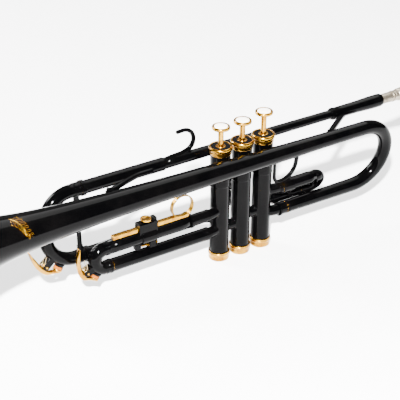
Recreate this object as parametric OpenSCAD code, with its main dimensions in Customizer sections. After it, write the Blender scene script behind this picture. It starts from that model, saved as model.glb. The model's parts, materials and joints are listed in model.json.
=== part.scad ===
// A black-lacquered trumpet with gold trim, standing on its three bottom valve caps.
// Bell towards -X, mouthpiece towards +X, pistons up along +Z, millimetres.
// Origin: middle of the second valve's bottom cap, on the floor.

/* [Valve block] */
// distance between valve axes
valve_pitch = 24.5; // [23:0.1:27]
// outside radius of the casing tube
casing_r = 9.3; // [8.5:0.05:10]
// radius of the casing bore
casing_bore = 8.45; // [7.5:0.05:9]
// outside radius of the upper casing sleeve
sleeve_r = 9.75; // [9.4:0.05:10.2]
// height where the upper sleeve starts
sleeve_z = 80; // [70:0.5:95]
// height of the top cap's upper face
cap_top = 121; // [115:0.5:126]
// radius of the top cap
top_cap_r = 11.3; // [10:0.1:12]
// radius of the bottom cap
bottom_cap_r = 10.4; // [9.8:0.1:11]
// height of the bottom cap
bottom_cap_h = 9.3; // [6:0.1:12]

/* [Pistons] */
// radius of the piston
piston_r = 8.38; // [7.5:0.02:9]
// how far a piston travels
stroke = 16.5; // [14:0.5:18]
// radius of the piston stem
stem_r = 2.62; // [2:0.02:3]
// radius of the finger button
button_r = 8.6; // [7:0.1:10]
// radius of the pearl inlay
pearl_r = 7.3; // [5:0.1:8]
// how much further out the first valve's button is screwed
button_lift = 3.1; // [0:0.1:4]

/* [Tubing] */
// outside radius of the outer slide tubes
outer_r = 6.35; // [6:0.05:7]
// inside radius of the outer slide tubes
outer_bore = 5.98; // [5.5:0.02:6.2]
// outside radius of the inner slide legs
inner_r = 5.92; // [5.4:0.02:6.1]
// radius of the air way
bore_r = 4.8; // [4.5:0.05:5.8]
// outside radius of the elbows at the valves
elbow_r = 5.25; // [5:0.05:5.6]
// outside radius of rings and ferrules
ferrule_r = 6.9; // [6.6:0.05:7.5]

/* [Bell] */
// sideways place of the bell axis
bell_y = -19.3; // [-24:0.1:-15]
// height of the bell axis
bell_z = 105.5; // [95:0.5:115]
// where the bell rim lies
rim_x = -316; // [-330:1:-280]
// radius of the bell at the rim
rim_r = 60.6; // [55:0.5:65]
// wall thickness of the bell
bell_wall = 0.9; // [0.5:0.05:1.5]
// radius of the bell bow tube
bow_r = 7; // [6:0.1:8]
// where the bell bow starts to turn
bow_x = 132.5; // [110:0.5:150]
// sideways place of the bell tail
tail_y = -6.6; // [-12:0.1:0]
// height of the bell tail
tail_z = 36.8; // [30:0.1:45]

/* [Leadpipe and tuning slide] */
// sideways place of the leadpipe
lead_y = 16.5; // [14:0.1:20]
// height of the leadpipe
lead_z = 109.6; // [100:0.1:118]
// sideways place of the tuning slide's lower leg
low_y = 11.5; // [6:0.1:16]
// height of the tuning slide's lower leg
low_z = 43.9; // [38:0.1:52]
// front end of the fixed tuning tubes
tuning_x = -165.5; // [-175:0.5:-150]
// foremost point of the tuning crook
crook_x = -209.5; // [-225:0.5:-195]
// bend radius of the tuning crook corners
crook_bend = 27.45; // [20:0.05:32]

/* [Third slide] */
// sideways place of the third slide
third_y = -4; // [-8:0.1:0]
// height of its upper leg
third_up_z = 53.4; // [48:0.1:60]
// height of its lower leg
third_low_z = 33.7; // [28:0.1:40]
// where its crook starts to turn
third_turn_x = -154; // [-165:0.5:-140]
// where its sliding upper tube ends
third_open_x = -59; // [-70:0.5:-45]
// middle of the finger ring along the slide
ring_x = -70; // [-90:0.5:-60]
// height of the finger ring's middle
ring_z = 72.3; // [68:0.1:78]
// outside radius of the finger ring
ring_r = 12; // [10:0.1:14]

/* [First and second slide] */
// upper leg of the first slide, sideways
first_up_y = -5; // [-8:0.1:0]
// upper leg of the first slide, height
first_up_z = 60; // [54:0.1:66]
// lower leg of the first slide, sideways
first_low_y = 5; // [0:0.1:8]
// lower leg of the first slide, height
first_low_z = 43.9; // [38:0.1:48]
// where the first slide's crook starts to turn
first_turn_x = 84; // [75:0.5:95]
// lower leg of the second slide, height
second_low_z = 50; // [44:0.1:56]
// upper leg of the second slide, height
second_up_z = 67.5; // [60:0.1:76]
// where the second slide's crook starts to turn
second_turn_y = 27; // [22:0.5:32]

/* [Mouthpiece] */
// rear end of the receiver
receiver_x = 184.5; // [170:0.5:200]
// shank radius at the receiver's end
shank_r = 5.05; // [4.5:0.01:5.5]
// length of the mouthpiece outside the receiver
mouthpiece_out = 68; // [55:0.5:75]

/* [Hidden] */
$fn = 72;
x3 = -valve_pitch;
x1 = valve_pitch;
reach = 15.1;
entry_reach = 27;
piston_low = 27;
piston_high = 111.5;
button_z = cap_top + 17;
spring_low = 1.6;
spring_turns = 7;
elbow_x = x1 + reach;
third_elbow_x = x3 - reach;
entry_x = x3 - entry_reach;
key_pivot = [-206.5, low_y, 45];
third_pivot = [-173.3, third_y, 35.4];
screw_x = -109.5;
knuckle_32_z = 33;
knuckle_21_z = 39.5;

// ---- shared shapes ----

// places a shape made about Z so that it runs along X
module along_x(x, y, z) {
    translate([x, y, z]) rotate([0, 90, 0]) children();
}

// hollow tube parallel to X
module tube_x(xa, xb, y, z, ro, ri) {
    along_x(xa, y, z) difference() {
        cylinder(h = xb - xa, r = ro);
        translate([0, 0, -1]) cylinder(h = xb - xa + 2, r = ri);
    }
}

// solid rod between two points
module rod(a, b, r) {
    d = b - a;
    l = norm(d);
    translate(a)
        rotate([0, acos(d[2] / l), atan2(d[1], d[0])])
            cylinder(h = l, r = r);
}

// half ring of tube joining two legs that run along X; side is the way it bulges
module u_bend(x, ya, za, yb, zb, side, ro, ri) {
    half = norm([yb - ya, zb - za]) / 2;
    lean = atan2(zb - za, yb - ya);
    translate([x, (ya + yb) / 2, (za + zb) / 2])
        rotate([lean, 0, 0])
            rotate_extrude(angle = 180, start = side > 0 ? -90 : 90)
                translate([half, 0]) difference() {
                    circle(r = ro);
                    circle(r = ri);
                }
}

// short elbow that leads a port of a valve into a tube parallel to X
function elbow_bend(a, y) = (a * a + y * y - 9) / (2 * abs(y));

module elbow(a, y, ro, ri) {
    off = abs(y);
    bend = elbow_bend(a, y);
    d = norm([a, off - bend]);
    turn = asin(bend / d) + atan2(off - bend, a);
    rotate([y < 0 ? 180 : 0, 0, 0]) difference() {
        translate([a, off - bend, 0])
            rotate_extrude(angle = turn, start = 90)
                translate([bend, 0]) difference() {
                    circle(r = ro);
                    circle(r = ri);
                }
        translate([0, 0, -20]) cylinder(h = 40, r = casing_r);
    }
}

// angle round the casing at which such an elbow meets it
function port_angle(a, y) =
    let (bend = elbow_bend(a, y), d = norm([a, abs(y) - bend]))
    (y < 0 ? -1 : 1) * (atan2(abs(y) - bend, a)
    + acos((casing_r * casing_r + d * d - bend * bend) / (2 * casing_r * d)));

// radius of the bell at a place along its axis
function bell_radius(x) =
    x < -261 ? 20.2 * pow(60.7 / (x + 261 + 60.7), 0.465) :
    x < -10 ? 20.2 * pow(70 / (x + 331), 0.542) :
    x < 80 ? 8.78 - (x + 10) * 0.0165 :
    7.295 - (x - 80) * 0.0056;

// ---- valve block ----

v3_ports = [
    [180 - port_angle(entry_reach, low_y), low_z],
    [180 - port_angle(reach, third_y), third_up_z],
    [180 - port_angle(reach, third_y), third_low_z],
    [0, knuckle_32_z]
];
v2_ports = [[180, knuckle_32_z], [0, knuckle_21_z], [90, second_low_z], [90, second_up_z]];
v1_ports = [
    [180, knuckle_21_z],
    [port_angle(reach, first_up_y), first_up_z],
    [port_angle(reach, first_low_y), first_low_z],
    [port_angle(reach, tail_y), tail_z]
];

module casing(x, ports) {
    translate([x, 0, 0]) difference() {
        translate([0, 0, 1.6]) cylinder(h = 115.4, r = casing_r);
        cylinder(h = 130, r = casing_bore);
        for (p = ports)
            translate([0, 0, p[1]]) rotate([0, 90, p[0]]) cylinder(h = 12, r = bore_r);
    }
}

module valve_casings() {
    color([0.02, 0.02, 0.025]) {
        casing(x3, v3_ports);
        casing(0, v2_ports);
        casing(x1, v1_ports);
    }
}

module casing_sleeves() {
    color([0.02, 0.02, 0.025])
        for (x = [x3, 0, x1])
            translate([x, 0, 0]) rotate_extrude() polygon([
                [casing_r, sleeve_z], [sleeve_r - 0.25, sleeve_z],
                [sleeve_r, sleeve_z + 0.8], [sleeve_r, 112.6], [casing_r, 112.6]
            ]);
}

module bottom_caps() {
    color([0.85, 0.62, 0.22])
        for (x = [x3, 0, x1])
            translate([x, 0, 0]) rotate_extrude() polygon([
                [0, 0], [8.2, 0], [9.4, 0.5], [9.95, 1.5], [10.0, 5.6],
                [10.15, 6.0], [bottom_cap_r, 6.3], [bottom_cap_r, bottom_cap_h - 0.5],
                [bottom_cap_r - 0.4, bottom_cap_h], [casing_r, bottom_cap_h],
                [casing_r, 1.6], [0, 1.6]
            ]);
}

module top_caps() {
    color([0.85, 0.62, 0.22])
        for (x = [x3, 0, x1])
            translate([x, 0, 0]) rotate_extrude() polygon([
                [2.7, cap_top - 3.4], [2.7, cap_top], [4.5, cap_top], [4.8, cap_top - 0.3],
                [4.8, cap_top - 1.3], [9.2, cap_top - 1.3], [9.2, cap_top - 0.4],
                [9.7, cap_top], [top_cap_r - 0.7, cap_top], [top_cap_r - 0.15, cap_top - 0.5],
                [top_cap_r, cap_top - 1.2], [top_cap_r, cap_top - 4.2],
                [top_cap_r - 0.5, cap_top - 4.9], [10.35, cap_top - 5.1], [10.35, 113.0],
                [10.0, 112.6], [casing_r, 112.6], [casing_r, 117], [8.5, 117],
                [8.5, cap_top - 3.4]
            ]);
}

module cap_inserts() {
    color([0.03, 0.03, 0.03])
        for (x = [x3, 0, x1])
            translate([x, 0, cap_top - 1.3]) difference() {
                cylinder(h = 0.9, r = 9.2);
                translate([0, 0, -1]) cylinder(h = 3, r = 4.8);
            }
}

module knuckle(xa, xb, z) {
    difference() {
        tube_x(xa, xb, 0, z, elbow_r, bore_r);
        for (x = [xa, xb])
            translate([x, 0, z - 10]) cylinder(h = 20, r = casing_r);
    }
}

module valve_knuckles() {
    color([0.02, 0.02, 0.025]) {
        knuckle(x3, 0, knuckle_32_z);
        knuckle(0, x1, knuckle_21_z);
    }
}

module port_elbows() {
    color([0.02, 0.02, 0.025]) {
        translate([x3, 0, low_z]) mirror([1, 0, 0])
            elbow(entry_reach, low_y, elbow_r, bore_r);
        for (z = [third_up_z, third_low_z])
            translate([x3, 0, z]) mirror([1, 0, 0])
                elbow(reach, third_y, elbow_r, bore_r);
        translate([x1, 0, first_up_z]) elbow(reach, first_up_y, elbow_r, bore_r);
        translate([x1, 0, first_low_z]) elbow(reach, first_low_y, elbow_r, bore_r);
        translate([x1, 0, tail_z]) elbow(reach, tail_y, elbow_r, bore_r);
        for (z = [second_low_z, second_up_z])
            difference() {
                translate([0, 0, z]) rotate([-90, 0, 0]) difference() {
                    cylinder(h = 13, r = elbow_r);
                    translate([0, 0, -1]) cylinder(h = 15, r = bore_r);
                }
                translate([0, 0, z - 10]) cylinder(h = 20, r = casing_r);
            }
    }
}

// small soldered pads between the casings and the bell and leadpipe
module casing_pads() {
    color([0.02, 0.02, 0.025]) {
        for (x = [x3, x1])
            difference() {
                translate([x, -6, bell_z - 1]) rotate([90, 0, 0]) cylinder(h = 9, r = 3);
                translate([x, 0, 60]) cylinder(h = 60, r = sleeve_r);
                along_x(x - 8, bell_y, bell_z) cylinder(h = 16, r = bell_radius(x - 3));
            }
        for (x = [x3, x1])
            difference() {
                translate([x, 7, lead_z - 1]) rotate([-90, 0, 0]) cylinder(h = 7, r = 2.6);
                translate([x, 0, 60]) cylinder(h = 60, r = sleeve_r);
                along_x(x - 8, lead_y, lead_z) cylinder(h = 16, r = lead_radius(x - 2.6));
            }
    }
}

// ---- bell ----

bell_stations = [
    for (i = [0:9]) rim_x + i * i * 0.62,
    for (i = [1:7]) -265.8 + i * 22.6,
    -78, -44, -10, 35, 80, bow_x
];

function bell_slope(x) = (bell_radius(x + 0.05) - bell_radius(x - 0.05)) / 0.1;
function bell_outer(i) = [min(rim_r, bell_radius(bell_stations[i])), bell_stations[i]];
function bell_inner(i, t) =
    let (s = bell_slope(bell_stations[i]), n = norm([1, s]))
    bell_outer(i) + [-t / n, t * s / n];

// the bell's outer skin as a full body, used where other pieces rest on it
module bell_body() {
    n = len(bell_stations);
    along_x(0, bell_y, bell_z) rotate_extrude() polygon(concat(
        [[0, bell_stations[0]]], [for (i = [0:n - 1]) bell_outer(i)],
        [[0, bell_stations[n - 1]]]
    ));
}

module rim_bead(r) {
    along_x(rim_x - 0.4, bell_y, bell_z) rotate_extrude()
        translate([rim_r + 0.1, 0]) circle(r = r);
}

module bell() {
    n = len(bell_stations);
    color([0.02, 0.02, 0.025]) difference() {
        along_x(0, bell_y, bell_z) rotate_extrude() polygon(concat(
            [for (i = [0:n - 1]) bell_outer(i)],
            [for (i = [n - 1:-1:0]) bell_inner(i, i == n - 1 ? 1 : bell_wall)]
        ));
        rim_bead(1.3);
    }
}

module bell_rim_wire() {
    color([0.02, 0.02, 0.025]) rim_bead(1.3);
}

module bell_bow() {
    color([0.02, 0.02, 0.025]) {
        u_bend(bow_x, tail_y, tail_z, bell_y, bell_z, 1, bow_r, bow_r - 1);
        along_x(0, tail_y, tail_z) rotate_extrude() polygon([
            [bow_r - 0.6, 48.5], [bow_r - 0.05, bow_x], [bow_r - 0.9, bow_x], [bow_r - 1.6, 48.5]
        ]);
    }
}

module ring_x(xa, xb, y, z, ro, ri) {
    along_x(xa, y, z) rotate_extrude() polygon([
        [ri, 0], [ro - 0.5, 0], [ro, 0.5], [ro, xb - xa - 0.5], [ro - 0.5, xb - xa], [ri, xb - xa]
    ]);
}

module tube_rings() {
    color([0.02, 0.02, 0.025]) {
        ring_x(tuning_x, tuning_x + 4, lead_y, lead_z, ferrule_r, outer_r);
        ring_x(tuning_x, tuning_x + 4, low_y, low_z, ferrule_r, outer_r);
        ring_x(third_turn_x + 4.4, third_turn_x + 7, third_y, third_low_z, ferrule_r, outer_r);
        ring_x(71, 73.4, first_low_y, first_low_z, ferrule_r, outer_r);
        along_x(0, tail_y, tail_z) rotate_extrude() polygon([
            [bore_r, elbow_x], [bow_r - 0.3, elbow_x], [bow_r, elbow_x + 0.4],
            [bow_r, elbow_x + 2.4], [bow_r - 0.5, elbow_x + 2.8], [bow_r - 0.5, 48.1],
            [bow_r - 0.9, 48.5], [bore_r, 48.5]
        ]);
    }
}

// ---- leadpipe and tuning slide ----

function lead_radius(x) = x > 119 ? 4.6 : 4.6 + (119 - x) * 0.0045;

module leadpipe() {
    color([0.02, 0.02, 0.025])
        along_x(0, lead_y, lead_z) rotate_extrude() polygon([
            [3.9, 158], [4.6, 158], [4.6, 119], [lead_radius(-79), -79], [bore_r, -79], [3.9, 119]
        ]);
}

module mouthpiece_receiver() {
    color([0.02, 0.02, 0.025])
        along_x(0, lead_y, lead_z) rotate_extrude() polygon([
            [4.6, 118.6], [5.3, 118.6], [5.5, 119.2], [5.5, 122.6], [5.15, 123.4], [5.5, 152],
            [6.1, 160], [6.6, 166], [6.75, 170], [6.75, 180], [6.4, 182.6], [5.7, 184.2],
            [shank_r + 0.06, receiver_x], [shank_r + 0.06 - 0.65, 158.5], [4.6, 158.5]
        ]);
}

module tuning_fixed_tubes() {
    color([0.02, 0.02, 0.025]) {
        along_x(0, lead_y, lead_z) rotate_extrude() polygon([
            [lead_radius(-77), -77], [outer_r - 0.5, -77], [outer_r, -77.8], [outer_r, tuning_x],
            [outer_bore, tuning_x], [outer_bore, -79], [lead_radius(-79), -79]
        ]);
        along_x(0, low_y, low_z) rotate_extrude() polygon([
            [bore_r, entry_x], [outer_r - 0.5, entry_x], [outer_r, entry_x - 0.8],
            [outer_r, tuning_x], [outer_bore, tuning_x], [outer_bore, entry_x - 3],
            [bore_r, entry_x - 3]
        ]);
    }
}

module tuning_legs() {
    color([0.8, 0.74, 0.6]) {
        tube_x(tuning_x - 7.5, tuning_x + 72, lead_y, lead_z, inner_r, bore_r);
        tube_x(tuning_x - 7.5, tuning_x + 72, low_y, low_z, inner_r, bore_r);
    }
}

// crook with two round corners and a short straight between them, closed by ferrules
module tuning_crook() {
    span = norm([lead_y - low_y, lead_z - low_z]);
    lean = atan2(lead_z - low_z, lead_y - low_y);
    turn_x = crook_x + outer_r + crook_bend;
    fer_a = tuning_x - 1.1 - 6.4;
    color([0.02, 0.02, 0.025]) {
        translate([0, low_y, low_z]) rotate([lean, 0, 0]) {
            difference() {
                union() {
                    translate([turn_x, crook_bend, 0])
                        rotate_extrude(angle = 90, start = 180)
                            translate([crook_bend, 0]) circle(r = outer_r);
                    translate([turn_x, span - crook_bend, 0])
                        rotate_extrude(angle = 90, start = 90)
                            translate([crook_bend, 0]) circle(r = outer_r);
                    translate([turn_x - crook_bend, crook_bend, 0]) rotate([-90, 0, 0])
                        cylinder(h = span - 2 * crook_bend, r = outer_r);
                    for (y = [0, span])
                        translate([turn_x, y, 0]) rotate([0, 90, 0])
                            cylinder(h = fer_a - turn_x, r = outer_r);
                }
                translate([turn_x, crook_bend, 0])
                    rotate_extrude(angle = 90, start = 180)
                        translate([crook_bend, 0]) circle(r = bore_r + 0.6);
                translate([turn_x, span - crook_bend, 0])
                    rotate_extrude(angle = 90, start = 90)
                        translate([crook_bend, 0]) circle(r = bore_r + 0.6);
                translate([turn_x - crook_bend, crook_bend, 0]) rotate([-90, 0, 0])
                    cylinder(h = span - 2 * crook_bend, r = bore_r + 0.6);
                for (y = [0, span])
                    translate([turn_x, y, 0]) rotate([0, 90, 0])
                        cylinder(h = fer_a - turn_x + 1, r = bore_r + 0.6);
            }
        }
        ring_x(fer_a, tuning_x - 1.1, lead_y, lead_z, ferrule_r - 0.2, inner_r);
        ring_x(fer_a, tuning_x - 1.1, low_y, low_z, ferrule_r - 0.2, inner_r);
    }
}

// the solid shape of the crook's lower corner, used where pieces sit on it
module crook_corner(r) {
    lean = atan2(lead_z - low_z, lead_y - low_y);
    translate([0, low_y, low_z]) rotate([lean, 0, 0])
        translate([crook_x + outer_r + crook_bend, crook_bend, 0])
            rotate_extrude(angle = 90, start = 180)
                translate([crook_bend, 0]) circle(r = r);
}

module tuning_stay() {
    x = tuning_x - 1.1 - 3.2;
    color([0.02, 0.02, 0.025]) difference() {
        union() {
            rod([x, low_y + 0.4, low_z + 5], [x, lead_y - 0.4, lead_z - 5], 2.2);
            rod([x, low_y + 0.4, low_z + 5], [x, low_y + 0.8, low_z + 10.5], 3.0);
            rod([x, lead_y - 0.8, lead_z - 10.5], [x, lead_y - 0.4, lead_z - 5], 3.0);
        }
        along_x(x - 12, low_y, low_z) cylinder(h = 24, r = ferrule_r - 0.2);
        along_x(x - 12, lead_y, lead_z) cylinder(h = 24, r = ferrule_r - 0.2);
    }
}

// ---- water keys ----

// two cheeks around the pivot and the nipple under the cork
// p: pivot, c: middle of the bend, lift: bend's outer radius, way: nipple direction
module key_seat(p, c, lift, way, tall) {
    d = c - p;
    lean = atan2(d[2], d[0]);
    for (s = [-1, 1])
        translate(p) rotate([0, -lean, 0]) difference() {
            union() {
                translate([0, s * 3.6 - 0.6, 0]) rotate([-90, 0, 0]) cylinder(h = 1.2, r = 3.3);
                translate([0, s * 3.6 - 0.6, -3.3]) cube([norm(d) - lift + 2.5, 1.2, 6.6]);
            }
            translate([0, s * 3.6 - 2, 0]) rotate([-90, 0, 0]) cylinder(h = 4, r = 1.06);
        }
    translate(c) rotate([0, 90 - way, 0]) difference() {
        translate([0, 0, lift - 1.5]) cylinder(h = 1.5 + tall, r1 = 4.9, r2 = 4.4);
        translate([0, 0, lift - 3]) cylinder(h = 6, r = 1.6);
    }
}

module key_cork(c, a, way) {
    translate(c) rotate([0, 90 - way, 0]) translate([0, 0, a]) cylinder(h = 3.4, r = 4.3);
}

// one edge of a strip that follows a path, half its thickness to one side
function strip_edge(path, half) = [
    for (i = [0:len(path) - 1])
        let (
            a = path[max(i - 1, 0)],
            b = path[i],
            c = path[min(i + 1, len(path) - 1)],
            u = i == 0 ? (c - b) / norm(c - b) : (b - a) / norm(b - a),
            v = i == len(path) - 1 ? u : (c - b) / norm(c - b),
            n = [-(u[1] + v[1]), u[0] + v[0]],
            away = n / norm(n)
        )
        b + away * half / (away * [-u[1], u[0]])
];

// strip of metal seen from the side, with square ends
module strip(path, thick) {
    left = strip_edge(path, thick / 2);
    right = strip_edge(path, -thick / 2);
    polygon(concat(left, [for (i = [len(right) - 1:-1:0]) right[i]]));
}

// lever from finger pad to cork plate: a bent strip with an ear to the pin
module key_lever(p, c, a, way, path, ear) {
    translate(c) rotate([0, 90 - way, 0]) translate([0, 0, a]) cylinder(h = 1.3, r = 4.5);
    translate([0, p[1] + 2.3, 0]) rotate([90, 0, 0]) linear_extrude(4.6) strip(path, 1.6);
    translate([p[0], p[1] - 5, p[2]]) rotate([-90, 0, 0]) cylinder(h = 10, r = 1.0);
    translate([p[0], p[1] - 2.8, p[2]]) rotate([-90, 0, 0]) cylinder(h = 5.6, r = 1.55);
    e = ear - [p[0], p[2]];
    translate([p[0], p[1] - 0.9, p[2]]) rotate([0, -atan2(e[1], e[0]), 0])
        translate([0, 0, -1.7]) cube([norm(e), 1.8, 3.4]);
}

// coils either side of the ear, one leg along the bend and a short one to the lever
module key_spring(p, leg_a, leg_b) {
    for (y = [-2.5, -1.7, 1.7, 2.5])
        translate([p[0], p[1] + y, p[2]]) rotate([90, 0, 0])
            rotate_extrude() translate([2.05, 0]) circle(r = 0.3);
    for (s = [-1, 1]) {
        rod([p[0] + leg_a[0], p[1] + s * 2.5, p[2] + leg_a[1]],
            [p[0] + leg_a[2], p[1] + s * 1.6, p[2] + leg_a[3]], 0.28);
        rod([p[0] + leg_b[0], p[1] + s * 1.7, p[2] + leg_b[1]],
            [p[0] + leg_b[2], p[1] + s * 1.7, p[2] + leg_b[3]], 0.28);
    }
}

tuning_turn = [crook_x + outer_r + crook_bend, low_y, low_z + crook_bend];
tuning_lift = crook_bend + outer_r;
tuning_way = -118.5;
tuning_path = [[-190.7, 34.4], [-198.5, 36.2], [-205.3, 38.3], [-212.1, 45.3],
               [-217.6, 54.6], [-222.0, 63.4]];
third_turn = [third_turn_x, third_y, (third_up_z + third_low_z) / 2];
third_lift = (third_up_z - third_low_z) / 2 + outer_r;
third_way = -123.5;
third_path = [[-162.6, 23.2], [-169.8, 27.8], [-175.2, 30.4], [-179.0, 38.0],
              [-180.6, 48], [-180.0, 61.4]];

module tuning_key_seat() {
    color([0.02, 0.02, 0.025]) difference() {
        key_seat(key_pivot, tuning_turn, tuning_lift, tuning_way, 1.4);
        crook_corner(outer_r);
    }
}

module tuning_key_cork() {
    color([0.72, 0.42, 0.22]) key_cork(tuning_turn, tuning_lift + 1.45, tuning_way);
}

module tuning_key_lever() {
    color([0.85, 0.62, 0.22])
        key_lever(key_pivot, tuning_turn, tuning_lift + 4.85, tuning_way, tuning_path,
            [-207.5, 40.5]);
}

module tuning_key_spring() {
    color([0.8, 0.65, 0.35])
        key_spring(key_pivot, [-1.3, 1.58, 1.2, 9.0], [-2.0, -0.45, -4.4, 4.3]);
}

module third_key_seat() {
    color([0.02, 0.02, 0.025]) difference() {
        key_seat(third_pivot, third_turn, third_lift, third_way, 1.0);
        u_bend(third_turn_x, third_y, third_low_z, third_y, third_up_z, -1, outer_r, 0.01);
    }
}

module third_key_cork() {
    color([0.72, 0.42, 0.22]) key_cork(third_turn, third_lift + 1.05, third_way);
}

module third_key_lever() {
    color([0.85, 0.62, 0.22])
        key_lever(third_pivot, third_turn, third_lift + 4.45, third_way, third_path,
            [-176.4, 32.4]);
}

module third_key_spring() {
    color([0.8, 0.65, 0.35])
        key_spring(third_pivot, [1.0, 1.79, -0.4, 11.2], [-2.05, 0.1, -3.2, 8.4]);
}

// ---- braces and hooks ----

module lead_body() {
    along_x(-79, lead_y, lead_z) cylinder(h = 198, r1 = lead_radius(-79), r2 = 4.6);
    along_x(119, lead_y, lead_z) cylinder(h = 30, r = 5.5);
    along_x(tuning_x, lead_y, lead_z) cylinder(h = -77 - tuning_x, r = outer_r);
}

module front_brace() {
    a = [-94, 10.6, 109.2];
    b = [-108, 8.2, 110.8];
    c = [-137, -5.2, 114.0];
    d = [-150, -9.8, 114.6];
    color([0.02, 0.02, 0.025]) difference() {
        union() {
            rod(a, b, 2.2);
            rod(b, c, 2.2);
            rod(c, d, 2.2);
            for (p = [b, c])
                translate(p) rotate([35, 50, 0]) sphere(r = 2.6);
            translate([-150, bell_y, bell_z]) rotate([-43, 0, 0])
                translate([0, 0, 10]) cylinder(h = 4.2, r = 4.6);
        }
        along_x(tuning_x, lead_y, lead_z) cylinder(h = 80, r = outer_r);
        bell_body();
    }
}

module rear_brace() {
    a = [131, 12.4, 107.4];
    b = [94, -14.2, 110.2];
    color([0.02, 0.02, 0.025]) difference() {
        union() {
            rod(a, b, 1.9);
            translate([94, bell_y, bell_z]) rotate([-48, 0, 0])
                translate([0, 0, 5.5]) cylinder(h = 2.8, r = 3.6);
            translate([131, lead_y, lead_z]) rotate([118, 0, 0])
                translate([0, 0, 3.5]) cylinder(h = 2.9, r = 3.4);
        }
        along_x(100, lead_y, lead_z) rotate_extrude() polygon([
            [0, 18.6], [5.3, 18.6], [5.5, 19.2], [5.5, 22.6], [5.15, 23.4], [5.5, 52], [0, 52]
        ]);
        bell_body();
    }
}

// hook for the little finger, on a foot soldered along the leadpipe
module pinky_hook() {
    color([0.02, 0.02, 0.025]) difference() {
        union() {
            translate([-55, lead_y, 127]) rotate([90, 0, 0])
                rotate_extrude(angle = 165, start = -75) translate([11, 0]) circle(r = 1.6);
            rod([-55, lead_y, 138], [-63, lead_y, 138], 1.6);
            translate([-63, lead_y, 138]) sphere(r = 1.6);
            translate([-72, lead_y - 2.4, lead_z + 2]) cube([23.4, 4.8, 5.2]);
            translate([-72, lead_y, lead_z + 2]) cylinder(h = 5.2, r = 2.4);
        }
        lead_body();
    }
}

// ---- third slide ----

module third_fixed_tubes() {
    color([0.02, 0.02, 0.025]) {
        tube_x(third_turn_x + 9, third_elbow_x, third_y, third_up_z, inner_r, bore_r);
        difference() {
            union() {
                along_x(0, third_y, third_low_z) rotate_extrude() polygon([
                    [bore_r, third_elbow_x], [outer_r - 0.5, third_elbow_x],
                    [outer_r, third_elbow_x - 0.8], [outer_r, third_turn_x + 4.4],
                    [outer_bore, third_turn_x + 4.4], [outer_bore, third_elbow_x - 3],
                    [bore_r, third_elbow_x - 3]
                ]);
                difference() {
                    translate([-107, third_y - 2.2, third_low_z + 3]) cube([8, 4.4, 9.6]);
                    along_x(-120, third_y, third_low_z) cylinder(h = 30, r = outer_bore + 0.1);
                }
            }
            along_x(-110, third_y, 43.6) cylinder(h = 20, r = 1.1);
        }
    }
}

module stop_screw() {
    color([0.8, 0.62, 0.25]) {
        along_x(-114.5, third_y, 43.6) cylinder(h = 17, r = 1.1);
        along_x(-109.2, third_y, 43.6) difference() {
            cylinder(h = 2.2, r = 2.2, $fn = 6);
            translate([0, 0, -1]) cylinder(h = 5, r = 1.1);
        }
        along_x(-99, third_y, 43.6) difference() {
            cylinder(h = 1.4, r = 2.2, $fn = 6);
            translate([0, 0, -1]) cylinder(h = 5, r = 1.1);
        }
    }
}

module third_sliding_tube() {
    color([0.02, 0.02, 0.025]) {
        tube_x(third_turn_x + 3.6, third_open_x, third_y, third_up_z, outer_r, outer_bore);
        tube_x(third_open_x - 3, third_open_x, third_y, third_up_z, ferrule_r - 0.15, outer_r);
        difference() {
            translate([-123, third_y - 2.2, third_up_z - 12.4]) cube([8, 4.4, 8]);
            along_x(-130, third_y, third_up_z) cylinder(h = 30, r = outer_r);
        }
    }
}

module third_crook() {
    color([0.02, 0.02, 0.025]) {
        u_bend(third_turn_x, third_y, third_low_z, third_y, third_up_z, -1, outer_r, 5.4);
        ring_x(third_turn_x, third_turn_x + 3.6, third_y, third_low_z, ferrule_r - 0.2, 5.4);
        ring_x(third_turn_x, third_turn_x + 3.6, third_y, third_up_z, ferrule_r - 0.2, outer_bore);
        tube_x(third_turn_x + 3.6, -78, third_y, third_low_z, inner_r, bore_r);
    }
}

// block that carries the ring bar, wrapped round the sliding tube
module bar_saddle() {
    color([0.02, 0.02, 0.025]) difference() {
        union() {
            along_x(-116.5, third_y, third_up_z) cylinder(h = 16, r = outer_r + 1.2);
            translate([-118.5, third_y - 4.6, third_up_z + 1]) cube([19.5, 9.2, 14.6]);
            translate([-103, third_y - 4.6, 68]) cube([4, 9.2, 3.6]);
        }
        along_x(-130, third_y, third_up_z) cylinder(h = 40, r = outer_r);
        translate([-130, third_y - 2.7, third_up_z + 6]) cube([40, 5.4, 64.7 - third_up_z - 6]);
        translate([screw_x, third_y, 60]) cylinder(h = 20, r = 1.48);
        translate([-130, third_y - 12, third_up_z - 12]) cube([40, 24, 9]);
    }
}

module ring_bar() {
    color([0.85, 0.62, 0.22]) difference() {
        translate([-145.4, third_y - 2.4, 60.25]) cube([82, 4.8, 4.05]);
        translate([ring_x, third_y + 10, ring_z]) rotate([90, 0, 0])
            cylinder(h = 20, r = ring_r);
    }
}

module finger_ring() {
    color([0.85, 0.62, 0.22]) difference() {
        translate([ring_x, third_y + 2.4, ring_z]) rotate([90, 0, 0]) difference() {
            cylinder(h = 4.8, r = ring_r);
            translate([0, 0, -1]) cylinder(h = 8, r = ring_r - 1.3);
        }
        translate([ring_x, third_y, ring_z]) rotate([0, -128, 0])
            translate([ring_r - 3, -5, -0.3]) cube([6, 10, 0.6]);
    }
}

module thumb_screw() {
    color([0.85, 0.62, 0.22])
        translate([screw_x, third_y, 0]) difference() {
            rotate_extrude() polygon([
                [0, 64.75], [1.1, 64.75], [1.4, 65.1], [1.4, 69.5], [4.6, 69.5], [5.3, 70.0],
                [5.3, 71.5], [5.0, 71.8], [4.3, 71.8], [3.9, 71.2], [0, 71.2]
            ]);
            translate([-3.2, -0.4, 70.6]) cube([6.4, 0.8, 3]);
        }
}

// ---- first slide ----

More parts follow.
